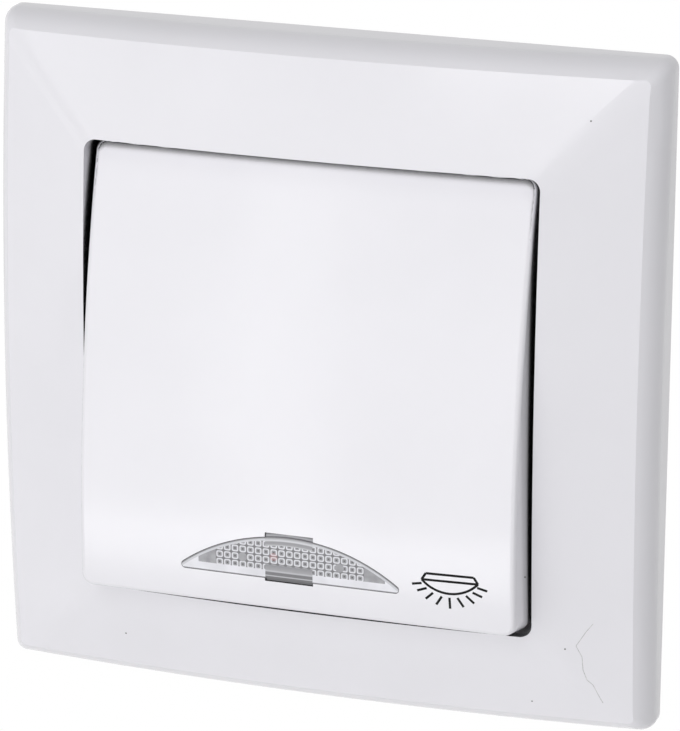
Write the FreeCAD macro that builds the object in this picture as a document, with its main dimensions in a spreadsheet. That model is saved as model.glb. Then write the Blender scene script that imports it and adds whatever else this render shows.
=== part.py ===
import FreeCAD, Part
import math
import os
import re
import Sketcher

# Flush-mounted push button switch for a light circuit: an 82 mm cover frame, a rocking button
# with a clear window, and the switch insert behind it with its two spreading claws.
# Frame of the part: X to the right, Z up, the wall surface is the plane Y = 0 and the room is on
# the -Y side. The origin is midway between the two box screws. Lengths are in millimetres.

SIZES = {
    # cover frame
    "frame_margin": 5.6,
    "frame_corner": 1.5,
    "frame_lip": 11.45,
    "frame_rim": 3.3,
    "frame_face_angle": 19.0,
    "frame_shoulder_radius": 5.7,
    "frame_mitre_blend": 8.0,
    "frame_crown_radius": 380.0,
    "frame_wall": 1.9,
    "frame_skirt_wall": 1.5,
    "frame_skirt_rear": 1.3,
    "opening_corner": 1.5,
    # snap hooks of the frame
    "hook_place": 10.5,
    "hook_width": 4.0,
    "hook_thickness": 1.2,
    "hook_barb": 0.55,
    "hook_reach": 1.5,
    "hook_clearance": 0.3,
    # rocking button
    "button_side": 55.0,
    "button_gap": 0.4,
    "button_face_side": 53.9,
    "button_corner": 1.5,
    "button_front": 14.8,
    "button_rear": 5.6,
    "button_face_radius": 147.0,
    "button_face_cross_radius": 700.0,
    "button_skin": 1.8,
    "button_wall": 1.5,
    "button_edge_fillet": 0.6,
    "button_rib": 1.2,
    "button_rib_inset": 9.5,
    "button_rib_depth": 2.4,
    "rest_tilt": 7.1,
    "press_angle": 7.5,
    "pivot_front": 6.0,
    # snap posts between button and carrier
    "post_inset": 2.5,
    "post_up": 8.0,
    "post_width": 3.0,
    "post_thickness": 1.6,
    "post_barb": 0.45,
    "post_reach": 1.2,
    "post_collar": 0.8,
    "post_clearance": 0.2,
    # clear window
    "lens_shift": 0.45,
    "lens_length": 27.1,
    "lens_rise": 5.25,
    "lens_tip_radius": 0.45,
    "lens_edge": 4.2,
    "lens_thickness": 1.2,
    "lens_ledge": 0.7,
    "lens_clearance": 0.06,
    "lens_clip_width": 5.9,
    "lens_clip_thickness": 0.8,
    "lens_clip_stand": 0.35,
    "lens_clip_recess": 0.3,
    "lens_clip_barb": 0.5,
    "lens_clip_reach": 0.9,
    "lens_clip_gap": 0.1,
    # carrier
    "carrier_inset": 2.0,
    "carrier_drop": 0.5,
    "carrier_front": 11.2,
    "carrier_thickness": 1.8,
    "carrier_corner": 2.0,
    "carrier_window": 9.0,
    "cheek_thickness": 2.0,
    "cheek_radius": 2.6,
    "cheek_gap": 0.3,
    "axle_radius": 1.5,
    "axle_clearance": 0.06,
    "axle_reach": 2.4,
    "ear_gap": 0.4,
    "finger_down": 8.6,
    "finger_reach": 11.5,
    "finger_radius": 1.25,
    "finger_width": 3.0,
    "finger_gap": 0.1,
    # return springs
    "spring_across": 6.5,
    "spring_radius": 2.2,
    "spring_wire": 0.5,
    "spring_pitch": 2.2,
    "spring_end_gap": 0.05,
    "spring_peg_radius": 1.5,
    "spring_peg": 1.2,
    # support plate
    "plate_edge": 2.3,
    "plate_thickness": 1.0,
    "plate_corner": 5.0,
    "plate_fit": 0.15,
    "box_screw_spacing": 60.0,
    "box_slot_width": 3.8,
    "box_slot_length": 6.4,
    "box_hole_radius": 1.9,
    # housing cover
    "neck_rivet_gap": 0.6,
    "neck_edge": 4.0,
    "neck_front": 3.0,
    "cover_flange": 2.0,
    "cover_skin": 1.8,
    "cover_wall": 1.8,
    "ear_thickness": 2.4,
    "ear_radius": 2.5,
    "well_clearance": 0.5,
    "well_depth": 2.5,
    "well_wall": 0.9,
    "well_edge": 0.15,
    "stop_across": 7.0,
    "stop_width": 3.0,
    "stop_edge": 2.5,
    "stop_height": 3.0,
    "stop_low_across": 12.0,
    "stop_low_width": 2.0,
    "stop_gap": 0.06,
    "slot_side_gap": 0.5,
    "slot_end_gap": 0.95,
    # base housing
    "base_edge": 1.0,
    "base_chamfer": 6.0,
    "base_rear": 21.0,
    "chamber_width": 8.4,
    "chamber_wall": 2.1,
    "chamber_top": 12.5,
    "chamber_end": 0.9,
    "chamber_room": 0.67,
    "wire_radius": 1.4,
    "wire_spacing": 3.6,
    "wire_funnel": 0.3,
    "wire_funnel_depth": 1.2,
    # rivets
    "rivet_wall": 0.3,
    "rivet_drop": 1.0,
    "rivet_radius": 1.2,
    "rivet_head_radius": 2.0,
    "rivet_head": 0.6,
    "rivet_depth": 6.0,
    "rivet_clearance": 0.04,
    "rivet_well_radius": 2.4,
    # contact arm and contacts
    "arm_root_up": 9.0,
    "arm_thickness": 0.6,
    "arm_width": 5.0,
    "arm_end": 0.2,
    "arm_eye_radius": 1.25,
    "pin_radius": 0.65,
    "pin_clearance": 0.04,
    "pin_seat": 1.2,
    "contact_step": 2.05,
    "contact_radius": 1.5,
    "contact_thickness": 1.0,
    "contact_shank": 0.8,
    "contact_rivet_head": 1.1,
    "contact_rivet_height": 0.35,
    "contact_gap": 0.06,
    "strip_thickness": 0.8,
    "strip_play": 0.25,
    "strip_ear_inner": 3.0,
    "strip_ear_height": 3.4,
    "strip_end": 0.5,
    "strip_contact_gap": 0.4,
    # wire terminals
    "cage_width": 8.0,
    "cage_height": 6.4,
    "cage_depth": 6.6,
    "cage_gap": 0.3,
    "cage_wall": 0.9,
    "cage_play": 0.3,
    "tongue_width": 5.6,
    "clamp_screw_radius": 1.75,
    "clamp_screw_clearance": 0.04,
    "clamp_screw_reach": 2.3,
    "clamp_head_radius": 2.6,
    "clamp_head": 2.0,
    "clamp_head_gap": 1.0,
    "clamp_recess": 1.4,
    "clamp_well_radius": 3.0,
    "screw_slot_width": 0.8,
    "screw_slot_depth": 0.9,
    # signal lamp
    "lamp_pin_across": 5.5,
    "lamp_pin_drop": 2.2,
    "lamp_pin_radius": 0.5,
    "lamp_pin_clearance": 0.05,
    "lamp_pin_sleeve": 1.3,
    "lamp_holder_width": 15.0,
    "lamp_holder_gap": 0.6,
    "lamp_holder_height": 5.8,
    "lamp_holder_depth": 3.0,
    "lamp_cheek": 1.6,
    "lamp_cheek_front": 7.4,
    "lamp_front": 6.0,
    "lamp_seat": 3.0,
    "lamp_radius": 1.6,
    "lamp_lead_radius": 0.3,
    # spreading claws
    "claw_screw_gap": 1.5,
    "claw_screw_radius": 1.5,
    "claw_screw_tip": 20.6,
    "claw_screw_play": 0.2,
    "claw_head_radius": 2.6,
    "claw_head": 1.7,
    "claw_head_gap": 0.05,
    "claw_travel": 4.0,
    "claw_ramp_angle": 40.0,
    "claw_ramp_gap": 0.3,
    "claw_sheet": 1.2,
    "claw_tuck": 3.8,
    "claw_leg_gap": 0.3,
    "claw_front": 16.2,
    "claw_width": 8.6,
    "claw_leg": 7.2,
    "claw_tooth": 1.3,
    "claw_lip": 2.4,
    "claw_side_gap": 0.5,
    "nut_side": 5.4,
    "nut_thickness": 2.4,
    "nut_gap": 0.06,
    "nut_thread_clearance": 0.04,
}

# Sizes that follow from the ones above
TIED_SIZES = {
    "plate_side": "box_screw_spacing + box_slot_length + 2 * plate_edge",
    "frame_side": "plate_side + 2 * frame_margin",
    "cage_across": "chamber_width / 2 + chamber_wall + cage_play + cage_width / 2",
    "rivet_across": "cage_across + cage_width / 2 + cage_play + rivet_wall + rivet_well_radius",
    "base_side": "2 * (rivet_across + rivet_well_radius + base_edge)",
    "rivet_up": "base_side / 2 - base_chamfer - rivet_drop",
    "cage_up": "base_side / 2 - clamp_recess - clamp_head - clamp_head_gap - cage_height / 2",
    "neck_width": "2 * (rivet_across - rivet_head_radius - neck_rivet_gap)",
    "neck_height": "base_side - 2 * neck_edge",
    "carrier_width": "neck_width - 2 * carrier_inset",
    "carrier_height": "neck_height - 2 * carrier_drop",
    "post_across": "carrier_width / 2 - post_inset",
    "well_radius": "spring_radius + spring_wire / 2 + well_clearance",
    "spring_down": "neck_height / 2 - well_radius - well_wall - well_edge",
    "stop_up": "neck_height / 2 - stop_height / 2 - stop_edge",
    "contact_down": "finger_down + finger_radius + contact_rivet_head + contact_step",
    "chamber_bottom": "contact_down + contact_radius + chamber_end",
    "arm_tip": "contact_down + contact_radius + arm_end",
    "strip_foot": "contact_down + contact_radius + strip_end",
    "tongue_low": "cage_up - cage_height / 2 + cage_wall",
    "strip_head": "min(tongue_low; contact_down - contact_radius - strip_contact_gap)",
    "slot_top": "finger_down - finger_radius - slot_end_gap",
    "slot_bottom": "finger_down + finger_radius + finger_reach * sin(rest_tilt) + slot_side_gap",
    "button_rib_place": "button_side / 2 - button_rib_inset",
    "lens_foot": "button_side / 2 - lens_edge",
    "lens_tip_across": "lens_length / 2 - lens_tip_radius",
    "lens_radius": "(lens_tip_across ^ 2 + lens_rise ^ 2 - 2 * lens_tip_radius * lens_rise)"
                   " / (2 * lens_rise - 4 * lens_tip_radius)",
    "lamp_pin_down": "neck_height / 2 + lamp_pin_drop",
    "lamp_holder_top": "neck_height / 2 + lamp_holder_gap",
    "lamp_holder_bottom": "lamp_holder_top + lamp_holder_height",
    "lamp_down": "lamp_holder_top + lamp_seat",
    "claw_screw_across": "base_side / 2 + claw_screw_gap + claw_screw_radius",
    "claw_inner": "base_side / 2 - claw_tuck",
    "claw_outer": "claw_screw_across + claw_screw_radius + claw_screw_play + claw_leg_gap"
                  " + claw_sheet",
}

doc = FreeCAD.newDocument("push_button_switch")
sheet = doc.addObject("Spreadsheet::Sheet", "sizes")
contents = {word: str(value) for word, value in SIZES.items()}
contents.update({word: "=" + formula for word, formula in TIED_SIZES.items()})
for row, (word, content) in enumerate(contents.items(), start=1):
    sheet.set("A%d" % row, word)
    sheet.set("B%d" % row, content)
    sheet.setAlias("B%d" % row, word)
doc.recompute()

WORD = re.compile(r"\b[a-z]+(?:_[a-z]+)+\b")


def bound(expression):
    """The expression with each size read from the sheet."""
    return WORD.sub(lambda found: "sizes." + found.group(0), expression)


def value_of(expression):
    """The number that an expression has now, to draw the first sketch with."""
    found = sheet.evalExpression(bound(expression))
    return float(getattr(found, "Value", found))


# Lengths worked out from the sizes, as expressions

OPENING = "(button_side / 2 + button_gap)"
FRAME_HALF = "(frame_side / 2)"
CROWN_AXIS = "(frame_crown_radius - frame_lip)"
BUTTON_AXIS = "(button_face_radius - button_front)"
BUTTON_DRAFT = "atan((button_side - button_face_side) / (2 * (button_front - button_rear)))"
CARRIER_REAR = "(carrier_front - carrier_thickness)"
# the carrier's rear face meets the plane Z = 0 at this depth, and then rises with the tilt
CARRIER_AT_REST = "(0 - pivot_front - (%s - pivot_front) / cos(rest_tilt))" % CARRIER_REAR
CARRIER_PRESSED = (
    "(0 - pivot_front - (%s - pivot_front) / cos(press_angle - rest_tilt))" % CARRIER_REAR
)
EAR_INNER = "(carrier_width / 2 - ear_thickness - ear_gap)"
CHEEK_OUTER = "(%s - cheek_gap)" % EAR_INNER
SPRING_OUTER = "(spring_radius + spring_wire / 2)"
WELL_FLOOR = "(well_depth - neck_front)"
SPRING_FOOT = "(%s - spring_end_gap)" % WELL_FLOOR
SPRING_TOP = "(%s - (spring_down - %s) * tan(rest_tilt) + spring_end_gap)" % (
    CARRIER_AT_REST, SPRING_OUTER
)
BASE_HALF = "(base_side / 2)"
NECK_ACROSS = "(neck_width / 2)"
NECK_UP = "(neck_height / 2)"
# the contact arm follows the finger of the carrier
ARM_FRONT = (
    "(finger_reach * cos(rest_tilt) - finger_down * sin(rest_tilt) - pivot_front"
    " + finger_radius + finger_gap)"
)
ARM_REAR = "(%s + arm_thickness)" % ARM_FRONT
ARM_SWING = (
    "atan((finger_reach * (cos(press_angle - rest_tilt) - cos(rest_tilt))"
    " + finger_down * (sin(press_angle - rest_tilt) + sin(rest_tilt)))"
    " / (arm_root_up + finger_down))"
)
PIN_DEPTH = "(%s + arm_thickness / 2)" % ARM_FRONT
# the contact's lower edge is the first to meet the fixed one
CONTACT_TRAVEL = "((arm_root_up + contact_down + contact_radius) * tan(%s))" % ARM_SWING
FIXED_FACE = "(%s + contact_thickness + %s + contact_gap)" % (ARM_REAR, CONTACT_TRAVEL)
STRIP_FRONT = "(%s + contact_thickness)" % FIXED_FACE
STRIP_REAR = "(%s + strip_thickness)" % STRIP_FRONT
CHAMBER_REAR = "(%s + contact_rivet_height + chamber_room)" % STRIP_REAR
CAGE_FRONT = "(%s + cage_gap)" % STRIP_REAR
CAGE_REAR = "(%s + cage_depth)" % CAGE_FRONT
CAGE_MIDDLE = "(%s + cage_depth / 2)" % CAGE_FRONT
CAGE_OUTER_UP = "(cage_up + cage_height / 2)"
CLAW_SPREAD = "(claw_travel * tan(claw_ramp_angle))"
CLAW_REAR = "(claw_front + claw_sheet)"

NORMAL_SIGN = {"XZ_Plane": -1, "YZ_Plane": 1, "XY_Plane": 1}

# a point nearer than this to a line or surface is taken to lie on it
ON_SURFACE = 0.01


def plane_of(body, role):
    return next(item for item in body.Origin.OriginFeatures if item.Role == role)


def new_body(name):
    body = doc.addObject("PartDesign::Body", name)
    body.Label = name
    return body


def new_sketch(body, name, role, offset):
    """A sketch on one of the body's own planes, moved along the plane's normal by offset."""
    sketch = body.newObject("Sketcher::SketchObject", name)
    sketch.AttachmentSupport = [(plane_of(body, role), "")]
    sketch.MapMode = "FlatFace"
    sketch.setExpression("AttachmentOffset.Base.z", bound(offset))
    return sketch


def pin_point(sketch, geometry, position, across, up):
    """Ties one end or centre to its two distances from the sketch's origin."""
    for kind, axis, length in (("DistanceX", -2, across), ("DistanceY", -1, up)):
        if length == "0":
            sketch.addConstraint(Sketcher.Constraint("PointOnObject", geometry, position, axis))
        else:
            index = sketch.addConstraint(
                Sketcher.Constraint(kind, -1, 1, geometry, position, value_of(length))
            )
            sketch.setExpression("Constraints[%d]" % index, bound(length))


def circle(sketch, across, up, radius):
    centre = FreeCAD.Vector(value_of(across), value_of(up), 0)
    shape = Part.Circle(centre, FreeCAD.Vector(0, 0, 1), value_of(radius))
    index = sketch.addGeometry(shape, False)
    pin_point(sketch, index, 3, across, up)
    number = sketch.addConstraint(Sketcher.Constraint("Radius", index, value_of(radius)))
    sketch.setExpression("Constraints[%d]" % number, bound(radius))


def arc_between(start, end, radius, turn):
    """The short arc from start to end, anticlockwise when turn is 1 and clockwise when it is -1."""
    middle = (start + end) * 0.5
    chord = end - start
    rise = math.sqrt(max(radius * radius - chord.Length * chord.Length / 4, 0.0))
    left = FreeCAD.Vector(-chord.y, chord.x, 0).normalize()
    centre = middle + left * (rise * turn)
    first, last = (start, end) if turn > 0 else (end, start)
    whole = Part.Circle(centre, FreeCAD.Vector(0, 0, 1), radius)
    angle_first = math.atan2(first.y - centre.y, first.x - centre.x)
    angle_last = math.atan2(last.y - centre.y, last.x - centre.x)
    return Part.ArcOfCircle(whole, angle_first, angle_last)


def outline(sketch, points):
    """A closed outline. Each point is (across, up), or (across, up, radius, turn) where an arc
    leads from it to the next point."""
    places = [FreeCAD.Vector(value_of(point[0]), value_of(point[1]), 0) for point in points]
    ends = []
    for number, point in enumerate(points):
        start = places[number]
        end = places[(number + 1) % len(points)]
        if len(point) == 4:
            radius, turn = value_of(point[2]), point[3]
            index = sketch.addGeometry(arc_between(start, end, radius, turn), False)
            tie = sketch.addConstraint(Sketcher.Constraint("Radius", index, radius))
            sketch.setExpression("Constraints[%d]" % tie, bound(point[2]))
            ends.append((index, 1, 2) if turn > 0 else (index, 2, 1))
        else:
            index = sketch.addGeometry(Part.LineSegment(start, end), False)
            ends.append((index, 1, 2))
    for number, point in enumerate(points):
        index, first, last = ends[number]
        following, following_first, following_last = ends[(number + 1) % len(points)]
        sketch.addConstraint(
            Sketcher.Constraint("Coincident", index, last, following, following_first)
        )
        pin_point(sketch, index, first, point[0], point[1])


def rectangle(sketch, left, right, bottom, top):
    outline(sketch, [(left, bottom), (right, bottom), (right, top), (left, top)])


def rounded_square(sketch, half, radius):
    flat = "(%s - %s)" % (half, radius)
    negative_half, negative_flat = "(0 - %s)" % half, "(0 - %s)" % flat
    outline(sketch, [
        (negative_flat, negative_half),
        (flat, negative_half, radius, 1),
        (half, negative_flat),
        (half, flat, radius, 1),
        (flat, half),
        (negative_flat, half, radius, 1),
        (negative_half, flat),
        (negative_half, negative_flat, radius, 1),
    ])


def chamfered_square(sketch, half, chamfer):
    flat = "(%s - %s)" % (half, chamfer)
    negative_half, negative_flat = "(0 - %s)" % half, "(0 - %s)" % flat
    outline(sketch, [
        (negative_flat, negative_half),
        (flat, negative_half),
        (half, negative_flat),
        (half, flat),
        (flat, half),
        (negative_flat, half),
        (negative_half, flat),
        (negative_half, negative_flat),
    ])


def pad(body, name, role, low, high, draw):
    """Adds what draw sketches, from low to high along the axis that the plane faces."""
    sign = NORMAL_SIGN[role]
    sketch = new_sketch(body, name + "_sketch", role, low if sign > 0 else "0 - (%s)" % high)
    draw(sketch)
    feature = body.newObject("PartDesign::Pad", name)
    feature.Profile = sketch
    feature.setExpression("Length", bound("(%s) - (%s)" % (high, low)))
    return feature


def pocket(body, name, role, low, high, draw):
    """Cuts what draw sketches, from low to high along the axis that the plane faces."""
    sign = NORMAL_SIGN[role]
    sketch = new_sketch(body, name + "_sketch", role, high if sign > 0 else "0 - (%s)" % low)
    draw(sketch)
    feature = body.newObject("PartDesign::Pocket", name)
    feature.Profile = sketch
    feature.setExpression("Length", bound("(%s) - (%s)" % (high, low)))
    return feature


def cut_with(body, name, tools):
    feature = body.newObject("PartDesign::Boolean", name)
    feature.Type = "Cut"
    feature.setObjects(tools)
    return feature


def tilt_about_pivot(piece):
    """Turns a piece drawn square to the wall to the place where the button rests."""
    piece.Placement = FreeCAD.Placement(
        FreeCAD.Vector(), FreeCAD.Rotation(FreeCAD.Vector(-1, 0, 0), SIZES["rest_tilt"])
    )
    piece.setExpression("Placement.Rotation.Angle", bound("rest_tilt"))
    piece.setExpression("Placement.Base.y", bound("0 - pivot_front * (1 - cos(rest_tilt))"))
    piece.setExpression("Placement.Base.z", bound("0 - pivot_front * sin(rest_tilt)"))


# Cover frame


def gable(inset):
    """Half of the frame bar's section, with the wall taken off by inset: the heights of the middle
    and of the ridge, the ridge's and the side's distances from the middle, and the radius of the
    rounded shoulder between the ridge and the side."""
    slope = "tan(frame_face_angle)"
    radius = "(frame_shoulder_radius - %s)" % inset
    centre = "(%s - frame_shoulder_radius)" % FRAME_HALF
    peak = "(frame_lip + %s * %s - %s / cos(frame_face_angle))" % (OPENING, slope, inset)
    above = "(%s - %s * %s - frame_rim)" % (peak, slope, centre)
    stretch = "(1 + %s * %s)" % (slope, slope)
    across = "((%s * %s + sqrt(%s * %s * %s - %s * %s)) / %s)" % (
        above, slope, radius, radius, stretch, above, above, stretch
    )
    ridge = "(%s + %s)" % (centre, across)
    ridge_height = "(frame_rim + %s - %s * %s)" % (above, slope, across)
    side = "(%s - %s)" % (FRAME_HALF, inset)
    return peak, ridge_height, ridge, side, radius


def crown_groove(body, name, role, inset):
    """Takes away all that lies in front of one pair of bars. The waste is swept round an axis far
    behind the wall, so the bars are crowned along their length."""
    sketch = new_sketch(body, name + "_sketch", role, "0")
    across_y = role == "YZ_Plane"
    axis_shift = "AttachmentOffset.Base.x" if across_y else "AttachmentOffset.Base.y"
    sketch.setExpression(axis_shift, bound(CROWN_AXIS))
    peak, ridge_height, ridge, side, radius = gable(inset)
    beyond = "(%s + frame_rim)" % FRAME_HALF
    top = "(%s + frame_rim)" % peak
    turn = 1 if across_y else -1

    def placed(height, away):
        depth = "(0 - (%s) - (%s))" % (CROWN_AXIS, height)
        return (depth, away) if across_y else (away, depth)

    outline(sketch, [
        placed(top, "(0 - %s)" % beyond),
        placed(top, beyond),
        placed("frame_rim", beyond),
        placed("frame_rim", side) + (radius, turn),
        placed(ridge_height, ridge),
        placed(peak, "0"),
        placed(ridge_height, "(0 - %s)" % ridge) + (radius, turn),
        placed("frame_rim", "(0 - %s)" % side),
        placed("frame_rim", "(0 - %s)" % beyond),
    ])
    feature = body.newObject("PartDesign::Groove", name)
    feature.Profile = sketch
    feature.ReferenceAxis = (sketch, ["V_Axis" if across_y else "H_Axis"])
    feature.Midplane = True
    feature.setExpression("Angle", bound("4 * asin(frame_side / (2 * frame_crown_radius))"))
    return feature


def diagonal_edges(feature, wanted):
    """Names of the edges on the frame's diagonals that are wanted, told by their point nearest to
    the middle and their length."""
    names = []
    for number, edge in enumerate(feature.Shape.Edges, start=1):
        points = edge.discretize(5)
        on_diagonal = all(
            math.isclose(abs(point.x), abs(point.z), abs_tol=ON_SURFACE) for point in points
        )
        if on_diagonal and wanted(min(abs(point.x) for point in points), edge.Length):
            names.append("Edge%d" % number)
    return names


def mitre_edges(feature):
    """Names of the four long edges where the bars' sloping faces meet."""
    depth = SIZES["frame_lip"] + SIZES["frame_rim"]
    return diagonal_edges(feature, lambda inmost, length: length > depth)


def corner_edges(feature):
    """Names of the edges of the four outer corners, up the sides and over the shoulders."""
    depth = SIZES["frame_lip"] + SIZES["frame_rim"]
    opening = SIZES["button_side"] / 2 + SIZES["button_gap"]
    return diagonal_edges(feature, lambda inmost, length: inmost > opening and length <= depth)


def frame_hooks(body):
    """Four hooks behind the edge of the opening, which snap through the support plate."""
    inner = "(%s + hook_clearance / 2)" % OPENING
    outer = "(%s + hook_thickness)" % inner
    barb = "(%s + hook_barb)" % outer
    catch = "hook_clearance / 2"
    for side, sign in (("left", "-1"), ("right", "1")):
        for level, way in (("lower", "-1"), ("upper", "1")):
            name = "hook_%s_%s" % (level, side)
            middle = "(%s * hook_place)" % sign
            pad(body, name, "YZ_Plane",
                "%s - hook_width / 2" % middle, "%s + hook_width / 2" % middle,
                lambda sketch, way=way: outline(sketch, [
                    ("(0 - frame_skirt_rear - frame_skirt_wall)", "(%s * %s)" % (way, inner)),
                    ("hook_reach", "(%s * %s)" % (way, inner)),
                    ("hook_reach", "(%s * %s)" % (way, outer)),
                    (catch, "(%s * %s)" % (way, barb)),
                    (catch, "(%s * %s)" % (way, outer)),
                    ("(0 - frame_skirt_rear - frame_skirt_wall)", "(%s * %s)" % (way, outer)),
                ]))


def cover_frame():
    core = new_body("frame_core")
    inner_half = "(%s - frame_wall)" % FRAME_HALF
    inner_corner = "(frame_wall / 4)"
    skirt = "(%s + frame_skirt_wall)" % OPENING
    pad(core, "frame_core_block", "XZ_Plane", "0 - frame_lip - frame_rim", "frame_wall",
        lambda sketch: rounded_square(sketch, inner_half, inner_corner))
    crown_groove(core, "frame_core_crown_x", "YZ_Plane", "frame_wall")
    crown_groove(core, "frame_core_crown_z", "XY_Plane", "frame_wall")
    pocket(core, "frame_core_skirt", "XZ_Plane",
           "0 - frame_lip - frame_rim", "0 - frame_skirt_rear",
           lambda sketch: rounded_square(sketch, skirt, "(opening_corner + frame_skirt_wall)"))

    frame = new_body("cover_frame")
    pad(frame, "frame_block", "XZ_Plane", "0 - frame_lip - frame_rim", "0",
        lambda sketch: rectangle(sketch, "(0 - %s)" % FRAME_HALF, FRAME_HALF,
                                 "(0 - %s)" % FRAME_HALF, FRAME_HALF))
    crown_groove(frame, "frame_crown_x", "YZ_Plane", "0")
    crown_groove(frame, "frame_crown_z", "XY_Plane", "0")
    inside = "(%s - frame_mitre_blend)" % OPENING
    middle = pocket(frame, "frame_middle", "XZ_Plane", "0 - frame_lip * 2", "frame_wall",
                    lambda sketch: rectangle(sketch, "(0 - %s)" % inside, inside,
                                             "(0 - %s)" % inside, inside))
    doc.recompute()
    faces = frame.newObject("PartDesign::Fillet", "frame_mitre_blend")
    faces.Base = (middle, mitre_edges(middle))
    faces.setExpression("Radius", bound("frame_mitre_blend"))
    doc.recompute()
    corners = frame.newObject("PartDesign::Fillet", "frame_corner_blend")
    corners.Base = (faces, corner_edges(faces))
    corners.setExpression("Radius", bound("frame_corner"))
    cut_with(frame, "frame_hollow", [core])
    pocket(frame, "frame_opening", "XZ_Plane", "0 - frame_lip - frame_rim", "frame_wall",
           lambda sketch: rounded_square(sketch, OPENING, "opening_corner"))
    frame_hooks(frame)
    return [frame]


def clear_face(body, name, depth, side):
    """Takes away all that lies in front of the button's hollow curve moved back by depth, or all
    that lies behind it. The curve is an arc across, swept round an axis behind the button."""
    sketch = new_sketch(body, name + "_sketch", "XY_Plane", "0")
    sketch.setExpression("AttachmentOffset.Base.y", bound(BUTTON_AXIS))
    radius = "(button_face_cross_radius - %s)" % depth
    centre = "(button_face_cross_radius - button_face_radius)"
    level = "(%s - sqrt(%s * %s - button_side * button_side))" % (centre, radius, radius)
    left, right = "(0 - button_side)", "button_side"
    if side == "front":
        far = "(0 - button_face_radius - button_front)"
        points = [(left, far), (right, far), (right, level, radius, -1), (left, level)]
    else:
        far = "(button_front - button_face_radius)"
        points = [(right, far), (left, far), (left, level, radius, 1), (right, level)]
    outline(sketch, points)
    feature = body.newObject("PartDesign::Groove", name)
    feature.Profile = sketch
    feature.ReferenceAxis = (sketch, ["H_Axis"])
    feature.Midplane = True
    feature.setExpression("Angle", bound("4 * asin(button_side / (2 * button_face_radius))"))
    return feature


def drafted_block(body, name, half, front):
    """A square block from the rear of the button to the front, narrower at the front."""
    block = pad(body, name, "XZ_Plane", "0 - %s" % front, "0 - button_rear",
                lambda sketch: rectangle(sketch, "(0 - %s)" % half, half, "(0 - %s)" % half, half))
    block.setExpression("TaperAngle", bound("-1 * %s" % BUTTON_DRAFT))
    return block


def lens_outline(sketch, grow):
    """The window's outline, a straight foot below, one arc above and a round tip at each end,
    larger by grow all round."""
    tip = "(lens_tip_radius + %s)" % grow
    radius = "(lens_radius + %s)" % grow
    foot = "(0 - lens_foot - %s)" % grow
    reach = "(%s / (lens_radius - lens_tip_radius))" % radius
    across = "(lens_tip_across * %s)" % reach
    height = "(lens_rise - lens_foot - lens_radius + (lens_radius - lens_rise + lens_tip_radius) * %s)"
    height = height % reach
    outline(sketch, [
        ("(0 - lens_shift - lens_tip_across)", foot),
        ("(0 - lens_shift + lens_tip_across)", foot, tip, 1),
        ("(0 - lens_shift + %s)" % across, height, radius, 1),
        ("(0 - lens_shift - %s)" % across, height, tip, 1),
    ])


def lens_opening(sketch):
    """The clear opening inside the ledge that the window rests on."""
    radius = "(lens_radius - lens_ledge)"
    foot = "(lens_ledge - lens_foot)"
    below = "(lens_radius - lens_rise + lens_ledge)"
    half = "sqrt(%s * %s - %s * %s)" % (radius, radius, below, below)
    outline(sketch, [
        ("(0 - lens_shift - %s)" % half, foot),
        ("(0 - lens_shift + %s)" % half, foot, radius, 1),
    ])


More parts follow.
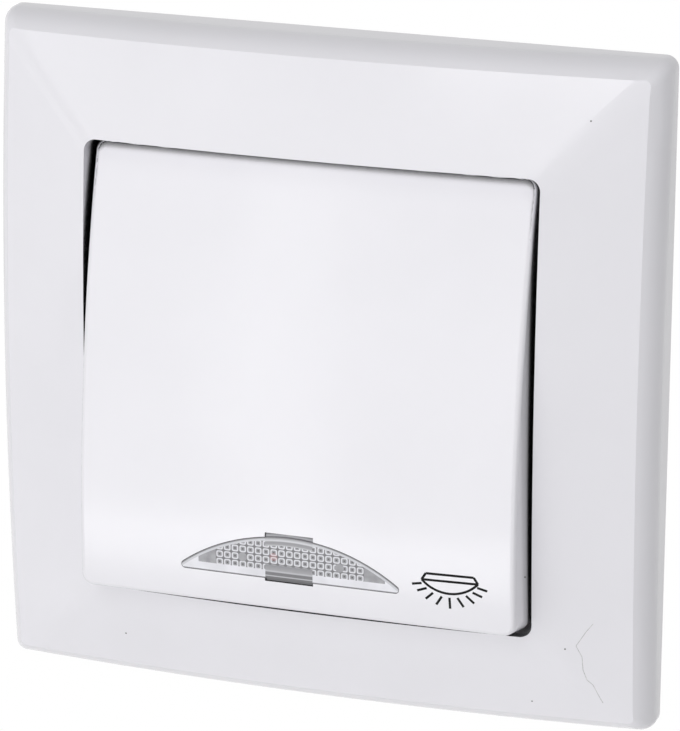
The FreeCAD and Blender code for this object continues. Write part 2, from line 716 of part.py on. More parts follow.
def rocker():
    form = new_body("rocker_form")
    drafted_block(form, "rocker_block", "(button_side / 2)", "(button_front + button_corner)")
    face = clear_face(form, "rocker_face", "0", "front")
    doc.recompute()
    corners = form.newObject("PartDesign::Fillet", "rocker_corners")
    corners.Base = (face, upright_edges(face))
    corners.setExpression("Radius", bound("button_corner"))
    doc.recompute()
    rounding = form.newObject("PartDesign::Fillet", "rocker_edge")
    rounding.Base = (corners, front_edges(corners))
    rounding.setExpression("Radius", bound("button_edge_fillet"))

    core = new_body("rocker_core")
    inner = "(button_side / 2 - button_wall)"
    drafted_block(core, "rocker_core_block", inner, "button_front")
    pad(core, "rocker_core_rear", "XZ_Plane", "0 - button_rear", "0",
        lambda sketch: rectangle(sketch, "(0 - %s)" % inner, inner, "(0 - %s)" % inner, inner))
    clear_face(core, "rocker_core_face", "button_skin", "front")
    for side, sign in (("left", "-1"), ("right", "1")):
        pocket(core, "rocker_rib_" + side, "XZ_Plane",
               "0 - button_front - button_skin",
               "0 - button_front + button_skin + button_rib_depth",
               lambda sketch, sign=sign: rectangle(
                   sketch,
                   "(%s * button_rib_place - button_rib / 2)" % sign,
                   "(%s * button_rib_place + button_rib / 2)" % sign,
                   "(0 - button_side / 2)", "(button_side / 2)"))

    window = new_body("rocker_window")
    pad(window, "rocker_window_block", "XZ_Plane", "0 - button_front - button_skin",
        "0 - button_rear", lambda sketch: lens_outline(sketch, "lens_clearance"))
    pad(window, "rocker_window_notch", "XZ_Plane", "0 - button_front - button_skin",
        "0 - button_rear",
        lambda sketch: rectangle(
            sketch,
            "(0 - lens_shift - lens_clip_width / 2 - lens_clearance)",
            "(0 - lens_shift + lens_clip_width / 2 + lens_clearance)",
            "(0 - lens_foot - lens_clip_stand - lens_clearance)",
            "(lens_rise - lens_foot + lens_clip_stand + lens_clearance)"))
    ledge = new_body("rocker_ledge")
    pad(ledge, "rocker_ledge_block", "XZ_Plane", "0 - button_front - button_skin",
        "0 - button_rear", lambda sketch: lens_outline(sketch, "(lens_clearance * 2)"))
    pocket(ledge, "rocker_ledge_hole", "XZ_Plane", "0 - button_front - button_skin",
           "0 - button_rear", lens_opening)
    pocket(ledge, "rocker_ledge_notch", "XZ_Plane", "0 - button_front - button_skin",
           "0 - button_rear",
           lambda sketch: rectangle(
               sketch,
               "(0 - lens_shift - lens_clip_width / 2 - lens_clearance)",
               "(0 - lens_shift + lens_clip_width / 2 + lens_clearance)",
               "(0 - button_side / 2)", "0"))
    clear_face(ledge, "rocker_ledge_front", "lens_thickness", "front")
    clear_face(ledge, "rocker_ledge_rear", "button_skin", "behind")

    posts = new_body("rocker_posts")
    for side, across in (("left", "-1"), ("right", "1")):
        for level, up in (("lower", "-1"), ("upper", "1")):
            snap_post(posts, "post_%s_%s" % (level, side), across, up)

    cut = doc.addObject("Part::MultiFuse", "rocker_hollow")
    cut.Shapes = [core, window]
    hollowed = doc.addObject("Part::Cut", "rocker_shell")
    hollowed.Base = form
    hollowed.Tool = cut
    piece = doc.addObject("Part::MultiFuse", "rocker")
    piece.Label = "rocker"
    piece.Shapes = [hollowed, ledge, posts]
    tilt_about_pivot(piece)
    return [piece]


def upright_edges(feature):
    """Names of the button's four edges that run from its rear to its face."""
    names = []
    for number, edge in enumerate(feature.Shape.Edges, start=1):
        run = edge.Vertexes[0].Point - edge.Vertexes[-1].Point
        if abs(run.y) > SIZES["button_corner"]:
            names.append("Edge%d" % number)
    return names


def front_edges(face):
    """Names of the edges all round the front face of the button."""
    shape = face.Shape
    axis_depth = SIZES["button_face_radius"] - SIZES["button_front"]
    cross = SIZES["button_face_cross_radius"]
    names = []
    for number, edge in enumerate(shape.Edges, start=1):
        on_face = True
        for point in edge.discretize(5):
            fall = cross - math.sqrt(cross * cross - point.x * point.x)
            away = math.hypot(point.y - axis_depth, point.z) + fall
            on_face = on_face and math.isclose(
                away, SIZES["button_face_radius"], abs_tol=ON_SURFACE
            )
        if on_face:
            names.append("Edge%d" % number)
    return names


def snap_post(body, name, across, up):
    """A collar that stands on the carrier and a barbed post that goes through it."""
    middle = "(%s * post_across)" % across
    height = "(%s * post_up)" % up
    skin = "0 - button_front + button_skin / 2"
    pad(body, name + "_collar", "XZ_Plane", skin, "0 - carrier_front",
        lambda sketch: rectangle(
            sketch,
            "(%s - post_width / 2 - post_collar)" % middle,
            "(%s + post_width / 2 + post_collar)" % middle,
            "(%s - post_thickness / 2 - post_collar)" % height,
            "(%s + post_thickness / 2 + post_collar)" % height))
    half = "(post_thickness / 2)"
    root = "(0 - carrier_front - post_collar / 2)"
    catch = "(0 - %s + post_clearance / 2)" % CARRIER_REAR
    tip = "(%s + post_reach)" % catch
    pad(body, name, "YZ_Plane", "%s - post_width / 2" % middle, "%s + post_width / 2" % middle,
        lambda sketch: outline(sketch, [
            (root, "(%s * (post_up - %s))" % (up, half)),
            (tip, "(%s * (post_up - %s))" % (up, half)),
            (tip, "(%s * (post_up + %s))" % (up, half)),
            (catch, "(%s * (post_up + %s + post_barb))" % (up, half)),
            (catch, "(%s * (post_up + %s))" % (up, half)),
            (root, "(%s * (post_up + %s))" % (up, half)),
        ]))


def lens():
    glass = new_body("lens")
    pad(glass, "lens_block", "XZ_Plane", "0 - button_front - button_skin",
        "0 - button_front + button_skin * 2", lambda sketch: lens_outline(sketch, "0"))
    clear_face(glass, "lens_face", "0", "front")
    clear_face(glass, "lens_rear", "lens_thickness", "behind")
    top = "(lens_rise - lens_foot + lens_clip_stand)"
    foot = "(0 - lens_foot - lens_clip_stand)"
    clip(glass, "lens_clip_top", top, "1")
    clip(glass, "lens_clip_foot", foot, "-1")
    tilt_about_pivot(glass)
    return [glass]


def clip(body, name, outer, way):
    """A clip at the window's edge, a little below its face. Its outer face stands at the height
    outer and its barb, behind the button's skin, points the way given."""
    inner = "(%s - %s * lens_clip_thickness)" % (outer, way)
    barb = "(%s + %s * lens_clip_barb)" % (outer, way)
    behind = (
        "(%s - sqrt((button_face_radius - button_skin) * (button_face_radius - button_skin)"
        " - %s * %s) + lens_clip_gap)" % (BUTTON_AXIS, barb, barb)
    )
    root = (
        "(%s - sqrt(button_face_radius * button_face_radius - %s * %s) + lens_clip_recess)"
        % (BUTTON_AXIS, outer, outer)
    )
    tip = "(%s + lens_clip_reach)" % behind
    middle = "(0 - lens_shift)"
    pad(body, name, "YZ_Plane",
        "%s - lens_clip_width / 2" % middle, "%s + lens_clip_width / 2" % middle,
        lambda sketch: outline(sketch, [
            (root, inner),
            (tip, inner),
            (tip, outer),
            (behind, barb),
            (behind, outer),
            (root, outer),
        ]))


def carrier():
    body = new_body("carrier")
    pad(body, "carrier_plate", "XZ_Plane", "0 - carrier_front", "0 - %s" % CARRIER_REAR,
        lambda sketch: rectangle(sketch, "(0 - carrier_width / 2)", "(carrier_width / 2)",
                                 "(0 - carrier_height / 2)", "(carrier_height / 2)"))
    for side, sign in (("left", "-1"), ("right", "1")):
        outer = "(%s * %s)" % (sign, CHEEK_OUTER)
        inner = "(%s * (%s - cheek_thickness))" % (sign, CHEEK_OUTER)
        low, high = (inner, outer) if sign == "1" else (outer, inner)
        pad(body, "cheek_" + side, "YZ_Plane", low, high,
            lambda sketch: rectangle(sketch, "(0 - %s - carrier_thickness / 2)" % CARRIER_REAR,
                                     "(0 - pivot_front)", "(0 - cheek_radius)", "cheek_radius"))
        pad(body, "cheek_end_" + side, "YZ_Plane", low, high,
            lambda sketch: circle(sketch, "(0 - pivot_front)", "0", "cheek_radius"))
        end = "(%s * (%s + axle_reach))" % (sign, CHEEK_OUTER)
        low, high = (inner, end) if sign == "1" else (end, inner)
        pad(body, "axle_" + side, "YZ_Plane", low, high,
            lambda sketch: circle(sketch, "(0 - pivot_front)", "0", "axle_radius"))
        pad(body, "spring_peg_" + side, "XZ_Plane",
            "0 - %s - carrier_thickness / 2" % CARRIER_REAR,
            "0 - %s + spring_peg" % CARRIER_REAR,
            lambda sketch, sign=sign: circle(sketch, "(%s * spring_across)" % sign,
                                             "(0 - spring_down)", "spring_peg_radius"))
    pad(body, "finger", "YZ_Plane", "0 - finger_width / 2", "finger_width / 2",
        lambda sketch: rectangle(sketch, "(0 - %s - carrier_thickness / 2)" % CARRIER_REAR,
                                 "(finger_reach - pivot_front)",
                                 "(0 - finger_down - finger_radius)",
                                 "(finger_radius - finger_down)"))
    pad(body, "finger_tip", "YZ_Plane", "0 - finger_width / 2", "finger_width / 2",
        lambda sketch: circle(sketch, "(finger_reach - pivot_front)", "(0 - finger_down)",
                              "finger_radius"))
    for side, across in (("left", "-1"), ("right", "1")):
        for level, up in (("lower", "-1"), ("upper", "1")):
            pocket(body, "post_hole_%s_%s" % (level, side), "XZ_Plane",
                   "0 - carrier_front - carrier_thickness", "0 - %s" % CARRIER_REAR,
                   lambda sketch, across=across, up=up: rectangle(
                       sketch,
                       "(%s * post_across - post_width / 2 - post_clearance)" % across,
                       "(%s * post_across + post_width / 2 + post_clearance)" % across,
                       "(%s * post_up - post_thickness / 2 - post_clearance)" % up,
                       "(%s * post_up + post_thickness / 2 + post_clearance)" % up))
    pocket(body, "carrier_hole", "XZ_Plane",
           "0 - carrier_front - carrier_thickness", "0 - %s" % CARRIER_REAR,
           lambda sketch: rectangle(sketch, "(0 - carrier_window / 2)", "(carrier_window / 2)",
                                    "(0 - carrier_window / 4)", "carrier_window"))
    tilt_about_pivot(body)
    return [body]


def return_springs():
    springs = []
    for side, sign in (("left", "-1"), ("right", "1")):
        name = "return_spring_" + side
        body = new_body(name)
        sketch = new_sketch(body, name + "_wire", "XY_Plane", "0")
        circle(sketch, "spring_radius", "0", "(spring_wire / 2)")
        coil = body.newObject("PartDesign::AdditiveHelix", name + "_coil")
        coil.Profile = sketch
        coil.ReferenceAxis = (sketch, ["V_Axis"])
        coil.Mode = "pitch-height-angle"
        coil.setExpression("Pitch", bound("spring_pitch"))
        coil.setExpression("Height", bound("%s - %s - spring_wire" % (SPRING_FOOT, SPRING_TOP)))
        coil.Reversed = False
        body.setExpression("Placement.Base.x", bound("%s * spring_across" % sign))
        body.setExpression("Placement.Base.y", bound("%s + spring_wire / 2" % SPRING_TOP))
        body.setExpression("Placement.Base.z", bound("0 - spring_down"))
        springs.append(body)
    return springs


def slot(sketch, across, up, half_run, radius):
    """A slot with round ends that runs across, its ends' centres half_run from the middle."""
    middle = FreeCAD.Vector(value_of(across), value_of(up), 0)
    run = FreeCAD.Vector(value_of(half_run), 0, 0)
    size = value_of(radius)
    rise = FreeCAD.Vector(0, size, 0)
    normal = FreeCAD.Vector(0, 0, 1)
    right_end = Part.ArcOfCircle(Part.Circle(middle + run, normal, size), -math.pi / 2, math.pi / 2)
    left_end = Part.ArcOfCircle(
        Part.Circle(middle - run, normal, size), math.pi / 2, 3 * math.pi / 2
    )
    right = sketch.addGeometry(right_end, False)
    top = sketch.addGeometry(Part.LineSegment(middle + run + rise, middle - run + rise), False)
    left = sketch.addGeometry(left_end, False)
    bottom = sketch.addGeometry(Part.LineSegment(middle - run - rise, middle + run - rise), False)
    for first, second in ((right, top), (top, left), (left, bottom), (bottom, right)):
        sketch.addConstraint(Sketcher.Constraint("Tangent", first, 2, second, 1))
    for index, way in ((right, "+"), (left, "-")):
        pin_point(sketch, index, 3, "(%s %s %s)" % (across, way, half_run), up)
    number = sketch.addConstraint(Sketcher.Constraint("Radius", right, size))
    sketch.setExpression("Constraints[%d]" % number, bound(radius))


def through_plate(body, name, draw):
    return pocket(body, name, "XZ_Plane", "0 - plate_thickness * 2", "plate_thickness", draw)


def support_plate():
    plate = new_body("support_plate")
    pad(plate, "plate_sheet", "XZ_Plane", "0 - plate_thickness", "0",
        lambda sketch: rounded_square(sketch, "(plate_side / 2)", "plate_corner"))
    through_plate(plate, "plate_opening", lambda sketch: rectangle(
        sketch, "(0 - %s - plate_fit)" % NECK_ACROSS, "(%s + plate_fit)" % NECK_ACROSS,
        "(0 - %s - plate_fit)" % NECK_UP, "(%s + plate_fit)" % NECK_UP))
    low = "(%s - hook_clearance / 2)" % OPENING
    high = "(%s + hook_thickness + hook_clearance)" % OPENING
    for side, sign in (("left", "-1"), ("right", "1")):
        middle = "(%s * hook_place)" % sign
        for level, way in (("lower", "-1"), ("upper", "1")):
            near, far = "(%s * %s)" % (way, low), "(%s * %s)" % (way, high)
            through_plate(plate, "hook_window_%s_%s" % (level, side),
                          lambda sketch, near=near, far=far, middle=middle: rectangle(
                              sketch,
                              "(%s - hook_width / 2 - hook_clearance)" % middle,
                              "(%s + hook_width / 2 + hook_clearance)" % middle,
                              near, far))
        through_plate(plate, "box_slot_" + side, lambda sketch, sign=sign: slot(
            sketch, "(%s * box_screw_spacing / 2)" % sign, "0",
            "((box_slot_length - box_slot_width) / 2)", "(box_slot_width / 2)"))
        through_plate(plate, "box_hole_" + side, lambda sketch, sign=sign: circle(
            sketch, "0", "(%s * box_screw_spacing / 2)" % sign, "box_hole_radius"))
        through_plate(plate, "claw_hole_" + side, lambda sketch, sign=sign: circle(
            sketch, "(%s * claw_screw_across)" % sign, "0",
            "(claw_screw_radius + claw_screw_play)"))
        through_plate(plate, "sleeve_hole_" + side, lambda sketch, sign=sign: circle(
            sketch, "(%s * lamp_pin_across)" % sign, "(0 - lamp_pin_down)",
            "(lamp_pin_sleeve + plate_fit)"))
    rivet_holes(plate, "plate_rivet", "0 - plate_thickness * 2", "plate_thickness",
                "(rivet_radius + rivet_clearance)")
    return [plate]


def rivet_holes(body, name, low, high, radius):
    for side, across in (("left", "-1"), ("right", "1")):
        for level, up in (("lower", "-1"), ("upper", "1")):
            pocket(body, "%s_%s_%s" % (name, level, side), "XZ_Plane", low, high,
                   lambda sketch, across=across, up=up: circle(
                       sketch, "(%s * rivet_across)" % across, "(%s * rivet_up)" % up, radius))


def plate_rivets():
    solids = []
    for side, across in (("left", "-1"), ("right", "1")):
        for level, up in (("lower", "-1"), ("upper", "1")):
            name = "rivet_%s_%s" % (level, side)
            body = new_body(name)
            for part, low, high, radius in (
                ("head", "0 - plate_thickness - rivet_head", "0 - plate_thickness",
                 "rivet_head_radius"),
                ("shank", "0 - plate_thickness - rivet_head / 2", "rivet_depth + rivet_head / 2",
                 "rivet_radius"),
                ("tail", "rivet_depth", "rivet_depth + rivet_head", "rivet_head_radius"),
            ):
                pad(body, "%s_%s" % (name, part), "XZ_Plane", low, high,
                    lambda sketch, across=across, up=up, radius=radius: circle(
                        sketch, "(%s * rivet_across)" % across, "(%s * rivet_up)" % up, radius))
            solids.append(body)
    return [group("plate_rivets", solids)]


def group(name, solids):
    """Identical separate fasteners kept as one piece."""
    piece = doc.addObject("Part::Compound", name)
    piece.Label = name
    piece.Links = solids
    return piece


def housing_cover():
    body = new_body("housing_cover")
    pad(body, "cover_plate", "XZ_Plane", "0", "cover_flange",
        lambda sketch: chamfered_square(sketch, BASE_HALF, "base_chamfer"))
    pad(body, "cover_neck", "XZ_Plane", "0 - neck_front", "cover_flange / 2",
        lambda sketch: rectangle(sketch, "(0 - %s)" % NECK_ACROSS, NECK_ACROSS,
                                 "(0 - %s)" % NECK_UP, NECK_UP))
    pocket(body, "cover_hollow", "XZ_Plane", "cover_skin - neck_front", "cover_flange",
           lambda sketch: rectangle(
               sketch, "(cover_wall - %s)" % NECK_ACROSS, "(%s - cover_wall)" % NECK_ACROSS,
               "(cover_wall - %s)" % NECK_UP, "(%s - cover_wall)" % NECK_UP))
    for side, sign in (("left", "-1"), ("right", "1")):
        pad(body, "well_boss_" + side, "XZ_Plane", "0 - neck_front + cover_skin / 2",
            "%s + well_wall" % WELL_FLOOR,
            lambda sketch, sign=sign: circle(sketch, "(%s * spring_across)" % sign,
                                             "(0 - spring_down)", "(well_radius + well_wall)"))
        pocket(body, "well_" + side, "XZ_Plane", "0 - neck_front * 2", WELL_FLOOR,
               lambda sketch, sign=sign: circle(sketch, "(%s * spring_across)" % sign,
                                                "(0 - spring_down)", "well_radius"))
        inner = "(%s * %s)" % (sign, EAR_INNER)
        outer = "(%s * (%s + ear_thickness))" % (sign, EAR_INNER)
        low, high = (inner, outer) if sign == "1" else (outer, inner)
        pad(body, "ear_" + side, "YZ_Plane", low, high,
            lambda sketch: rectangle(sketch, "(0 - pivot_front)", "(cover_skin / 2 - neck_front)",
                                     "(0 - ear_radius)", "ear_radius"))
        pad(body, "ear_end_" + side, "YZ_Plane", low, high,
            lambda sketch: circle(sketch, "(0 - pivot_front)", "0", "ear_radius"))
        pocket(body, "ear_hole_" + side, "YZ_Plane", low, high,
               lambda sketch: circle(sketch, "(0 - pivot_front)", "0",
                                     "(axle_radius + axle_clearance)"))
        stop(body, "rest_stop_" + side, sign, "stop_across", "stop_width", "1",
             CARRIER_AT_REST, "rest_tilt")
        stop(body, "press_stop_" + side, sign, "stop_low_across", "stop_low_width", "-1",
             CARRIER_PRESSED, "(rest_tilt - press_angle)")
        pin_rib(body, "pin_rib_" + side, sign)
        pocket(body, "lead_hole_" + side, "XZ_Plane", "0 - cover_flange", "cover_flange",
               lambda sketch, sign=sign: circle(sketch, "(%s * lamp_pin_across)" % sign,
                                                "(0 - lamp_pin_down)",
                                                "(lamp_pin_radius + lamp_pin_clearance)"))
    pocket(body, "finger_slot", "XZ_Plane", "0 - neck_front * 2", "cover_flange",
           lambda sketch: rectangle(
               sketch, "(0 - finger_width / 2 - slot_side_gap)",
               "(finger_width / 2 + slot_side_gap)", "(0 - slot_bottom)", "(0 - slot_top)"))
    rivet_holes(body, "cover_rivet", "0 - cover_flange", "cover_flange",
                "(rivet_radius + rivet_clearance)")
    return [body]


def stop(body, name, sign, across, width, way, plane, slope):
    """A post on the neck. Its front lies along the rear face of the carrier at one end of the
    travel."""
    middle = "(%s * %s)" % (sign, across)
    root = "(cover_skin / 2 - neck_front)"
    low = "(%s * stop_up - stop_height / 2)" % way
    high = "(%s * stop_up + stop_height / 2)" % way
    pad(body, name, "YZ_Plane", "%s - %s / 2" % (middle, width), "%s + %s / 2" % (middle, width),
        lambda sketch: outline(sketch, [
            (root, low),
            (root, high),
            ("(%s + %s * tan(%s) + stop_gap)" % (plane, high, slope), high),
            ("(%s + %s * tan(%s) + stop_gap)" % (plane, low, slope), low),
        ]))


def pin_rib(body, name, sign):
    """A rib that keeps one end of the arm's pin in its seat."""
    inner = "(%s * (chamber_width / 2 + pin_clearance))" % sign
    outer = "(%s * (chamber_width / 2 + pin_seat - pin_clearance))" % sign
    pad(body, name, "XZ_Plane", "0 - neck_front + cover_skin / 2",
        "%s - pin_radius - pin_clearance" % PIN_DEPTH,
        lambda sketch: rectangle(sketch, inner, outer, "(arm_root_up - pin_radius)",
                                 "(arm_root_up + pin_radius)"))


def claw_notch(sketch, sign):
    """Room beside the base for one claw, closed on the inside by the ramp it climbs."""
    beyond = "(%s + claw_sheet)" % BASE_HALF
    behind = "(base_rear + claw_sheet)"
    start = "(claw_front - (%s - claw_inner + claw_ramp_gap) / tan(claw_ramp_angle))" % beyond
    end = "(claw_inner - claw_ramp_gap - (%s - claw_front) * tan(claw_ramp_angle))" % behind
    outline(sketch, [
        ("(%s * %s)" % (sign, beyond), start),
        ("(%s * %s)" % (sign, beyond), behind),
        ("(%s * %s)" % (sign, end), behind),
    ])


def terminal_place(across, up):
    return "(%s * cage_across)" % across, "(%s * cage_up)" % up


TERMINALS = (("line", "1", "1"), ("switched", "1", "-1"), ("neutral", "-1", "-1"))


def base_housing():
    body = new_body("base_housing")
    pad(body, "base_block", "XZ_Plane", "cover_flange", "base_rear",
        lambda sketch: chamfered_square(sketch, BASE_HALF, "base_chamfer"))
    pocket(body, "contact_chamber", "XZ_Plane", "cover_flange", CHAMBER_REAR,
           lambda sketch: rectangle(sketch, "(0 - chamber_width / 2)", "(chamber_width / 2)",
                                    "(0 - chamber_bottom)", "chamber_top"))
    pocket(body, "pin_seats", "XZ_Plane", "cover_flange", PIN_DEPTH,
           lambda sketch: rectangle(sketch, "(0 - chamber_width / 2 - pin_seat)",
                                    "(chamber_width / 2 + pin_seat)",
                                    "(arm_root_up - pin_radius - pin_clearance)",
                                    "(arm_root_up + pin_radius + pin_clearance)"))
    pocket(body, "pin_seat_floor", "YZ_Plane", "0 - chamber_width / 2 - pin_seat",
           "chamber_width / 2 + pin_seat",
           lambda sketch: circle(sketch, PIN_DEPTH, "arm_root_up", "(pin_radius + pin_clearance)"))
    for name, across, up in TERMINALS:
        middle, height = terminal_place(across, up)
        pocket(body, "cage_room_" + name, "XZ_Plane", "cover_flange", "%s + cage_play" % CAGE_REAR,
               lambda sketch, middle=middle, height=height: rectangle(
                   sketch,
                   "(%s - cage_width / 2 - cage_play)" % middle,
                   "(%s + cage_width / 2 + cage_play)" % middle,
                   "(%s - cage_height / 2 - cage_play)" % height,
                   "(%s + cage_height / 2 + cage_play)" % height))
        near, far = "(%s * cage_up)" % up, "(%s * %s)" % (up, BASE_HALF)
        low, high = (near, far) if up == "1" else (far, near)
        pocket(body, "screw_well_" + name, "XY_Plane", low, high,
               lambda sketch, middle=middle: circle(sketch, middle, CAGE_MIDDLE,
                                                    "clamp_well_radius"))
        for entry, shift in (("first", "-1"), ("second", "1")):
            place = "(%s + %s * wire_spacing / 2)" % (middle, shift)
            pocket(body, "wire_hole_%s_%s" % (entry, name), "XZ_Plane", CAGE_REAR, "base_rear",
                   lambda sketch, place=place, height=height: circle(
                       sketch, place, height, "wire_radius"))
            pocket(body, "wire_funnel_%s_%s" % (entry, name), "XZ_Plane",
                   "base_rear - wire_funnel_depth", "base_rear",
                   lambda sketch, place=place, height=height: circle(
                       sketch, place, height, "(wire_radius + wire_funnel)"))
    for name, draw in STRIP_OUTLINES:
        pocket(body, "strip_room_" + name, "XZ_Plane", "cover_flange",
               "%s + pin_clearance" % STRIP_REAR,
               lambda sketch, draw=draw: draw(sketch, "strip_play"))
    for side, sign in (("left", "-1"), ("right", "1")):
        pocket(body, "claw_notch_" + side, "XY_Plane", "0 - claw_width / 2 - claw_side_gap",
               "claw_width / 2 + claw_side_gap",
               lambda sketch, sign=sign: claw_notch(sketch, sign))
    rivet_holes(body, "base_rivet", "cover_flange", "rivet_depth",
                "(rivet_radius + rivet_clearance)")
    rivet_holes(body, "rivet_well", "rivet_depth", "base_rear", "rivet_well_radius")
    return [body]


def line_strip_outline(sketch, grow):
    rectangle(sketch,
              "(0 - strip_ear_inner - strip_thickness - %s)" % grow,
              "(cage_across + tongue_width / 2 + %s)" % grow,
              "(arm_root_up - strip_ear_height / 2 - %s)" % grow,
              "(tongue_low + strip_thickness + %s)" % grow)


def lamp_strip_outline(sketch, sign, end, grow):
    """One strip behind the lower terminals, with a leg down to the lamp's pin."""
    far = "(%s * (cage_across + tongue_width / 2 + %s))" % (sign, grow)
    near = "(%s * (%s - %s))" % (sign, end, grow)
    leg_outer = "(%s * (lamp_pin_across + strip_thickness + %s))" % (sign, grow)
    leg_inner = "(%s * (lamp_pin_across - strip_thickness - %s))" % (sign, grow)
    top = "(0 - strip_head + %s)" % grow
    foot = "(0 - strip_foot - %s)" % grow
    leg_foot = "(0 - lamp_pin_down - strip_thickness - %s)" % grow
    outline(sketch, [
        (near, top),
        (near, foot),
        (leg_inner, foot),
        (leg_inner, leg_foot),
        (leg_outer, leg_foot),
        (leg_outer, foot),
        (far, foot),
        (far, top),
    ])


STRIP_OUTLINES = (
    ("line", line_strip_outline),
    ("switched", lambda sketch, grow: lamp_strip_outline(
        sketch, "1", "(0 - contact_radius - strip_thickness)", grow)),
    ("neutral", lambda sketch, grow: lamp_strip_outline(
        sketch, "-1", "(lamp_pin_across - strip_thickness * 2)", grow)),
)


def strip(name, label, across, up, draw):
    """A brass strip with a tongue that reaches into its terminal cage."""
    body = new_body(label)
    pad(body, name + "_strip", "XZ_Plane", STRIP_FRONT, STRIP_REAR,
        lambda sketch: draw(sketch, "0"))
    middle, _ = terminal_place(across, up)
    near = "(%s * tongue_low)" % up
    far = "(%s * (tongue_low + strip_thickness))" % up
    pad(body, name + "_tongue", "XZ_Plane", STRIP_FRONT, "%s - cage_gap" % CAGE_REAR,
        lambda sketch: rectangle(sketch, "(%s - tongue_width / 2)" % middle,
                                 "(%s + tongue_width / 2)" % middle, near, far))
    return body


def contact_parts():
    names = dict(STRIP_OUTLINES)
    line = strip("line", "line_strip", "1", "1", names["line"])
    for side, sign in (("left", "-1"), ("right", "1")):
        inner = "(%s * strip_ear_inner)" % sign
        outer = "(%s * (strip_ear_inner + strip_thickness))" % sign
        low, high = (inner, outer) if sign == "1" else (outer, inner)
        pad(line, "line_ear_" + side, "YZ_Plane", low, high,
            lambda sketch: rectangle(sketch, "(%s - strip_ear_height / 2)" % PIN_DEPTH,
                                     "(%s + strip_thickness / 2)" % STRIP_FRONT,
                                     "(arm_root_up - strip_ear_height / 2)",
                                     "(arm_root_up + strip_ear_height / 2)"))
    pocket(line, "line_ear_holes", "YZ_Plane", "0 - chamber_width", "chamber_width",
           lambda sketch: circle(sketch, PIN_DEPTH, "arm_root_up", "(pin_radius + pin_clearance)"))
    switched = strip("switched", "switched_strip", "1", "-1", names["switched"])
    shank_hole = "(contact_shank + pin_clearance)"
    pocket(switched, "switched_contact_hole", "XZ_Plane", "0", "base_rear",
           lambda sketch: circle(sketch, "0", "(0 - contact_down)", shank_hole))
    neutral = strip("neutral", "neutral_strip", "-1", "-1", names["neutral"])

    fixed = new_body("fixed_contact")
    moving = new_body("moving_contact")
    for body, name, pads in (
        (fixed, "fixed", (
            ("face", FIXED_FACE, STRIP_FRONT, "contact_radius"),
            ("shank", "%s - contact_thickness / 2" % STRIP_FRONT,
             "%s + contact_rivet_height / 2" % STRIP_REAR, "contact_shank"),
            ("head", STRIP_REAR, "%s + contact_rivet_height" % STRIP_REAR, "contact_rivet_head"),
        )),
        (moving, "moving", (
            ("face", ARM_REAR, "%s + contact_thickness" % ARM_REAR, "contact_radius"),
            ("shank", "%s - contact_rivet_height / 2" % ARM_FRONT,
             "%s + contact_thickness / 2" % ARM_REAR, "contact_shank"),
            ("head", "%s - contact_rivet_height" % ARM_FRONT, ARM_FRONT, "contact_rivet_head"),
        )),
    ):
        for part, low, high, radius in pads:
            pad(body, "%s_contact_%s" % (name, part), "XZ_Plane", low, high,
                lambda sketch, radius=radius: circle(sketch, "0", "(0 - contact_down)", radius))

    arm = new_body("contact_arm")
    pad(arm, "arm_blade", "XZ_Plane", ARM_FRONT, ARM_REAR,
        lambda sketch: rectangle(sketch, "(0 - arm_width / 2)", "(arm_width / 2)",
                                 "(0 - arm_tip)", "arm_root_up"))
    pad(arm, "arm_eye", "YZ_Plane", "0 - arm_width / 2", "arm_width / 2",
        lambda sketch: circle(sketch, PIN_DEPTH, "arm_root_up", "arm_eye_radius"))
    pocket(arm, "arm_eye_hole", "YZ_Plane", "0 - arm_width", "arm_width",
           lambda sketch: circle(sketch, PIN_DEPTH, "arm_root_up", "(pin_radius + pin_clearance)"))
    pocket(arm, "arm_contact_hole", "XZ_Plane", "0", "base_rear",
           lambda sketch: circle(sketch, "0", "(0 - contact_down)", shank_hole))

    pin = new_body("arm_pin")
    pad(pin, "pin_rod", "YZ_Plane", "pin_clearance - chamber_width / 2 - pin_seat",
        "chamber_width / 2 + pin_seat - pin_clearance",
        lambda sketch: circle(sketch, PIN_DEPTH, "arm_root_up", "pin_radius"))
    return [line, switched, neutral, fixed, moving, arm, pin]


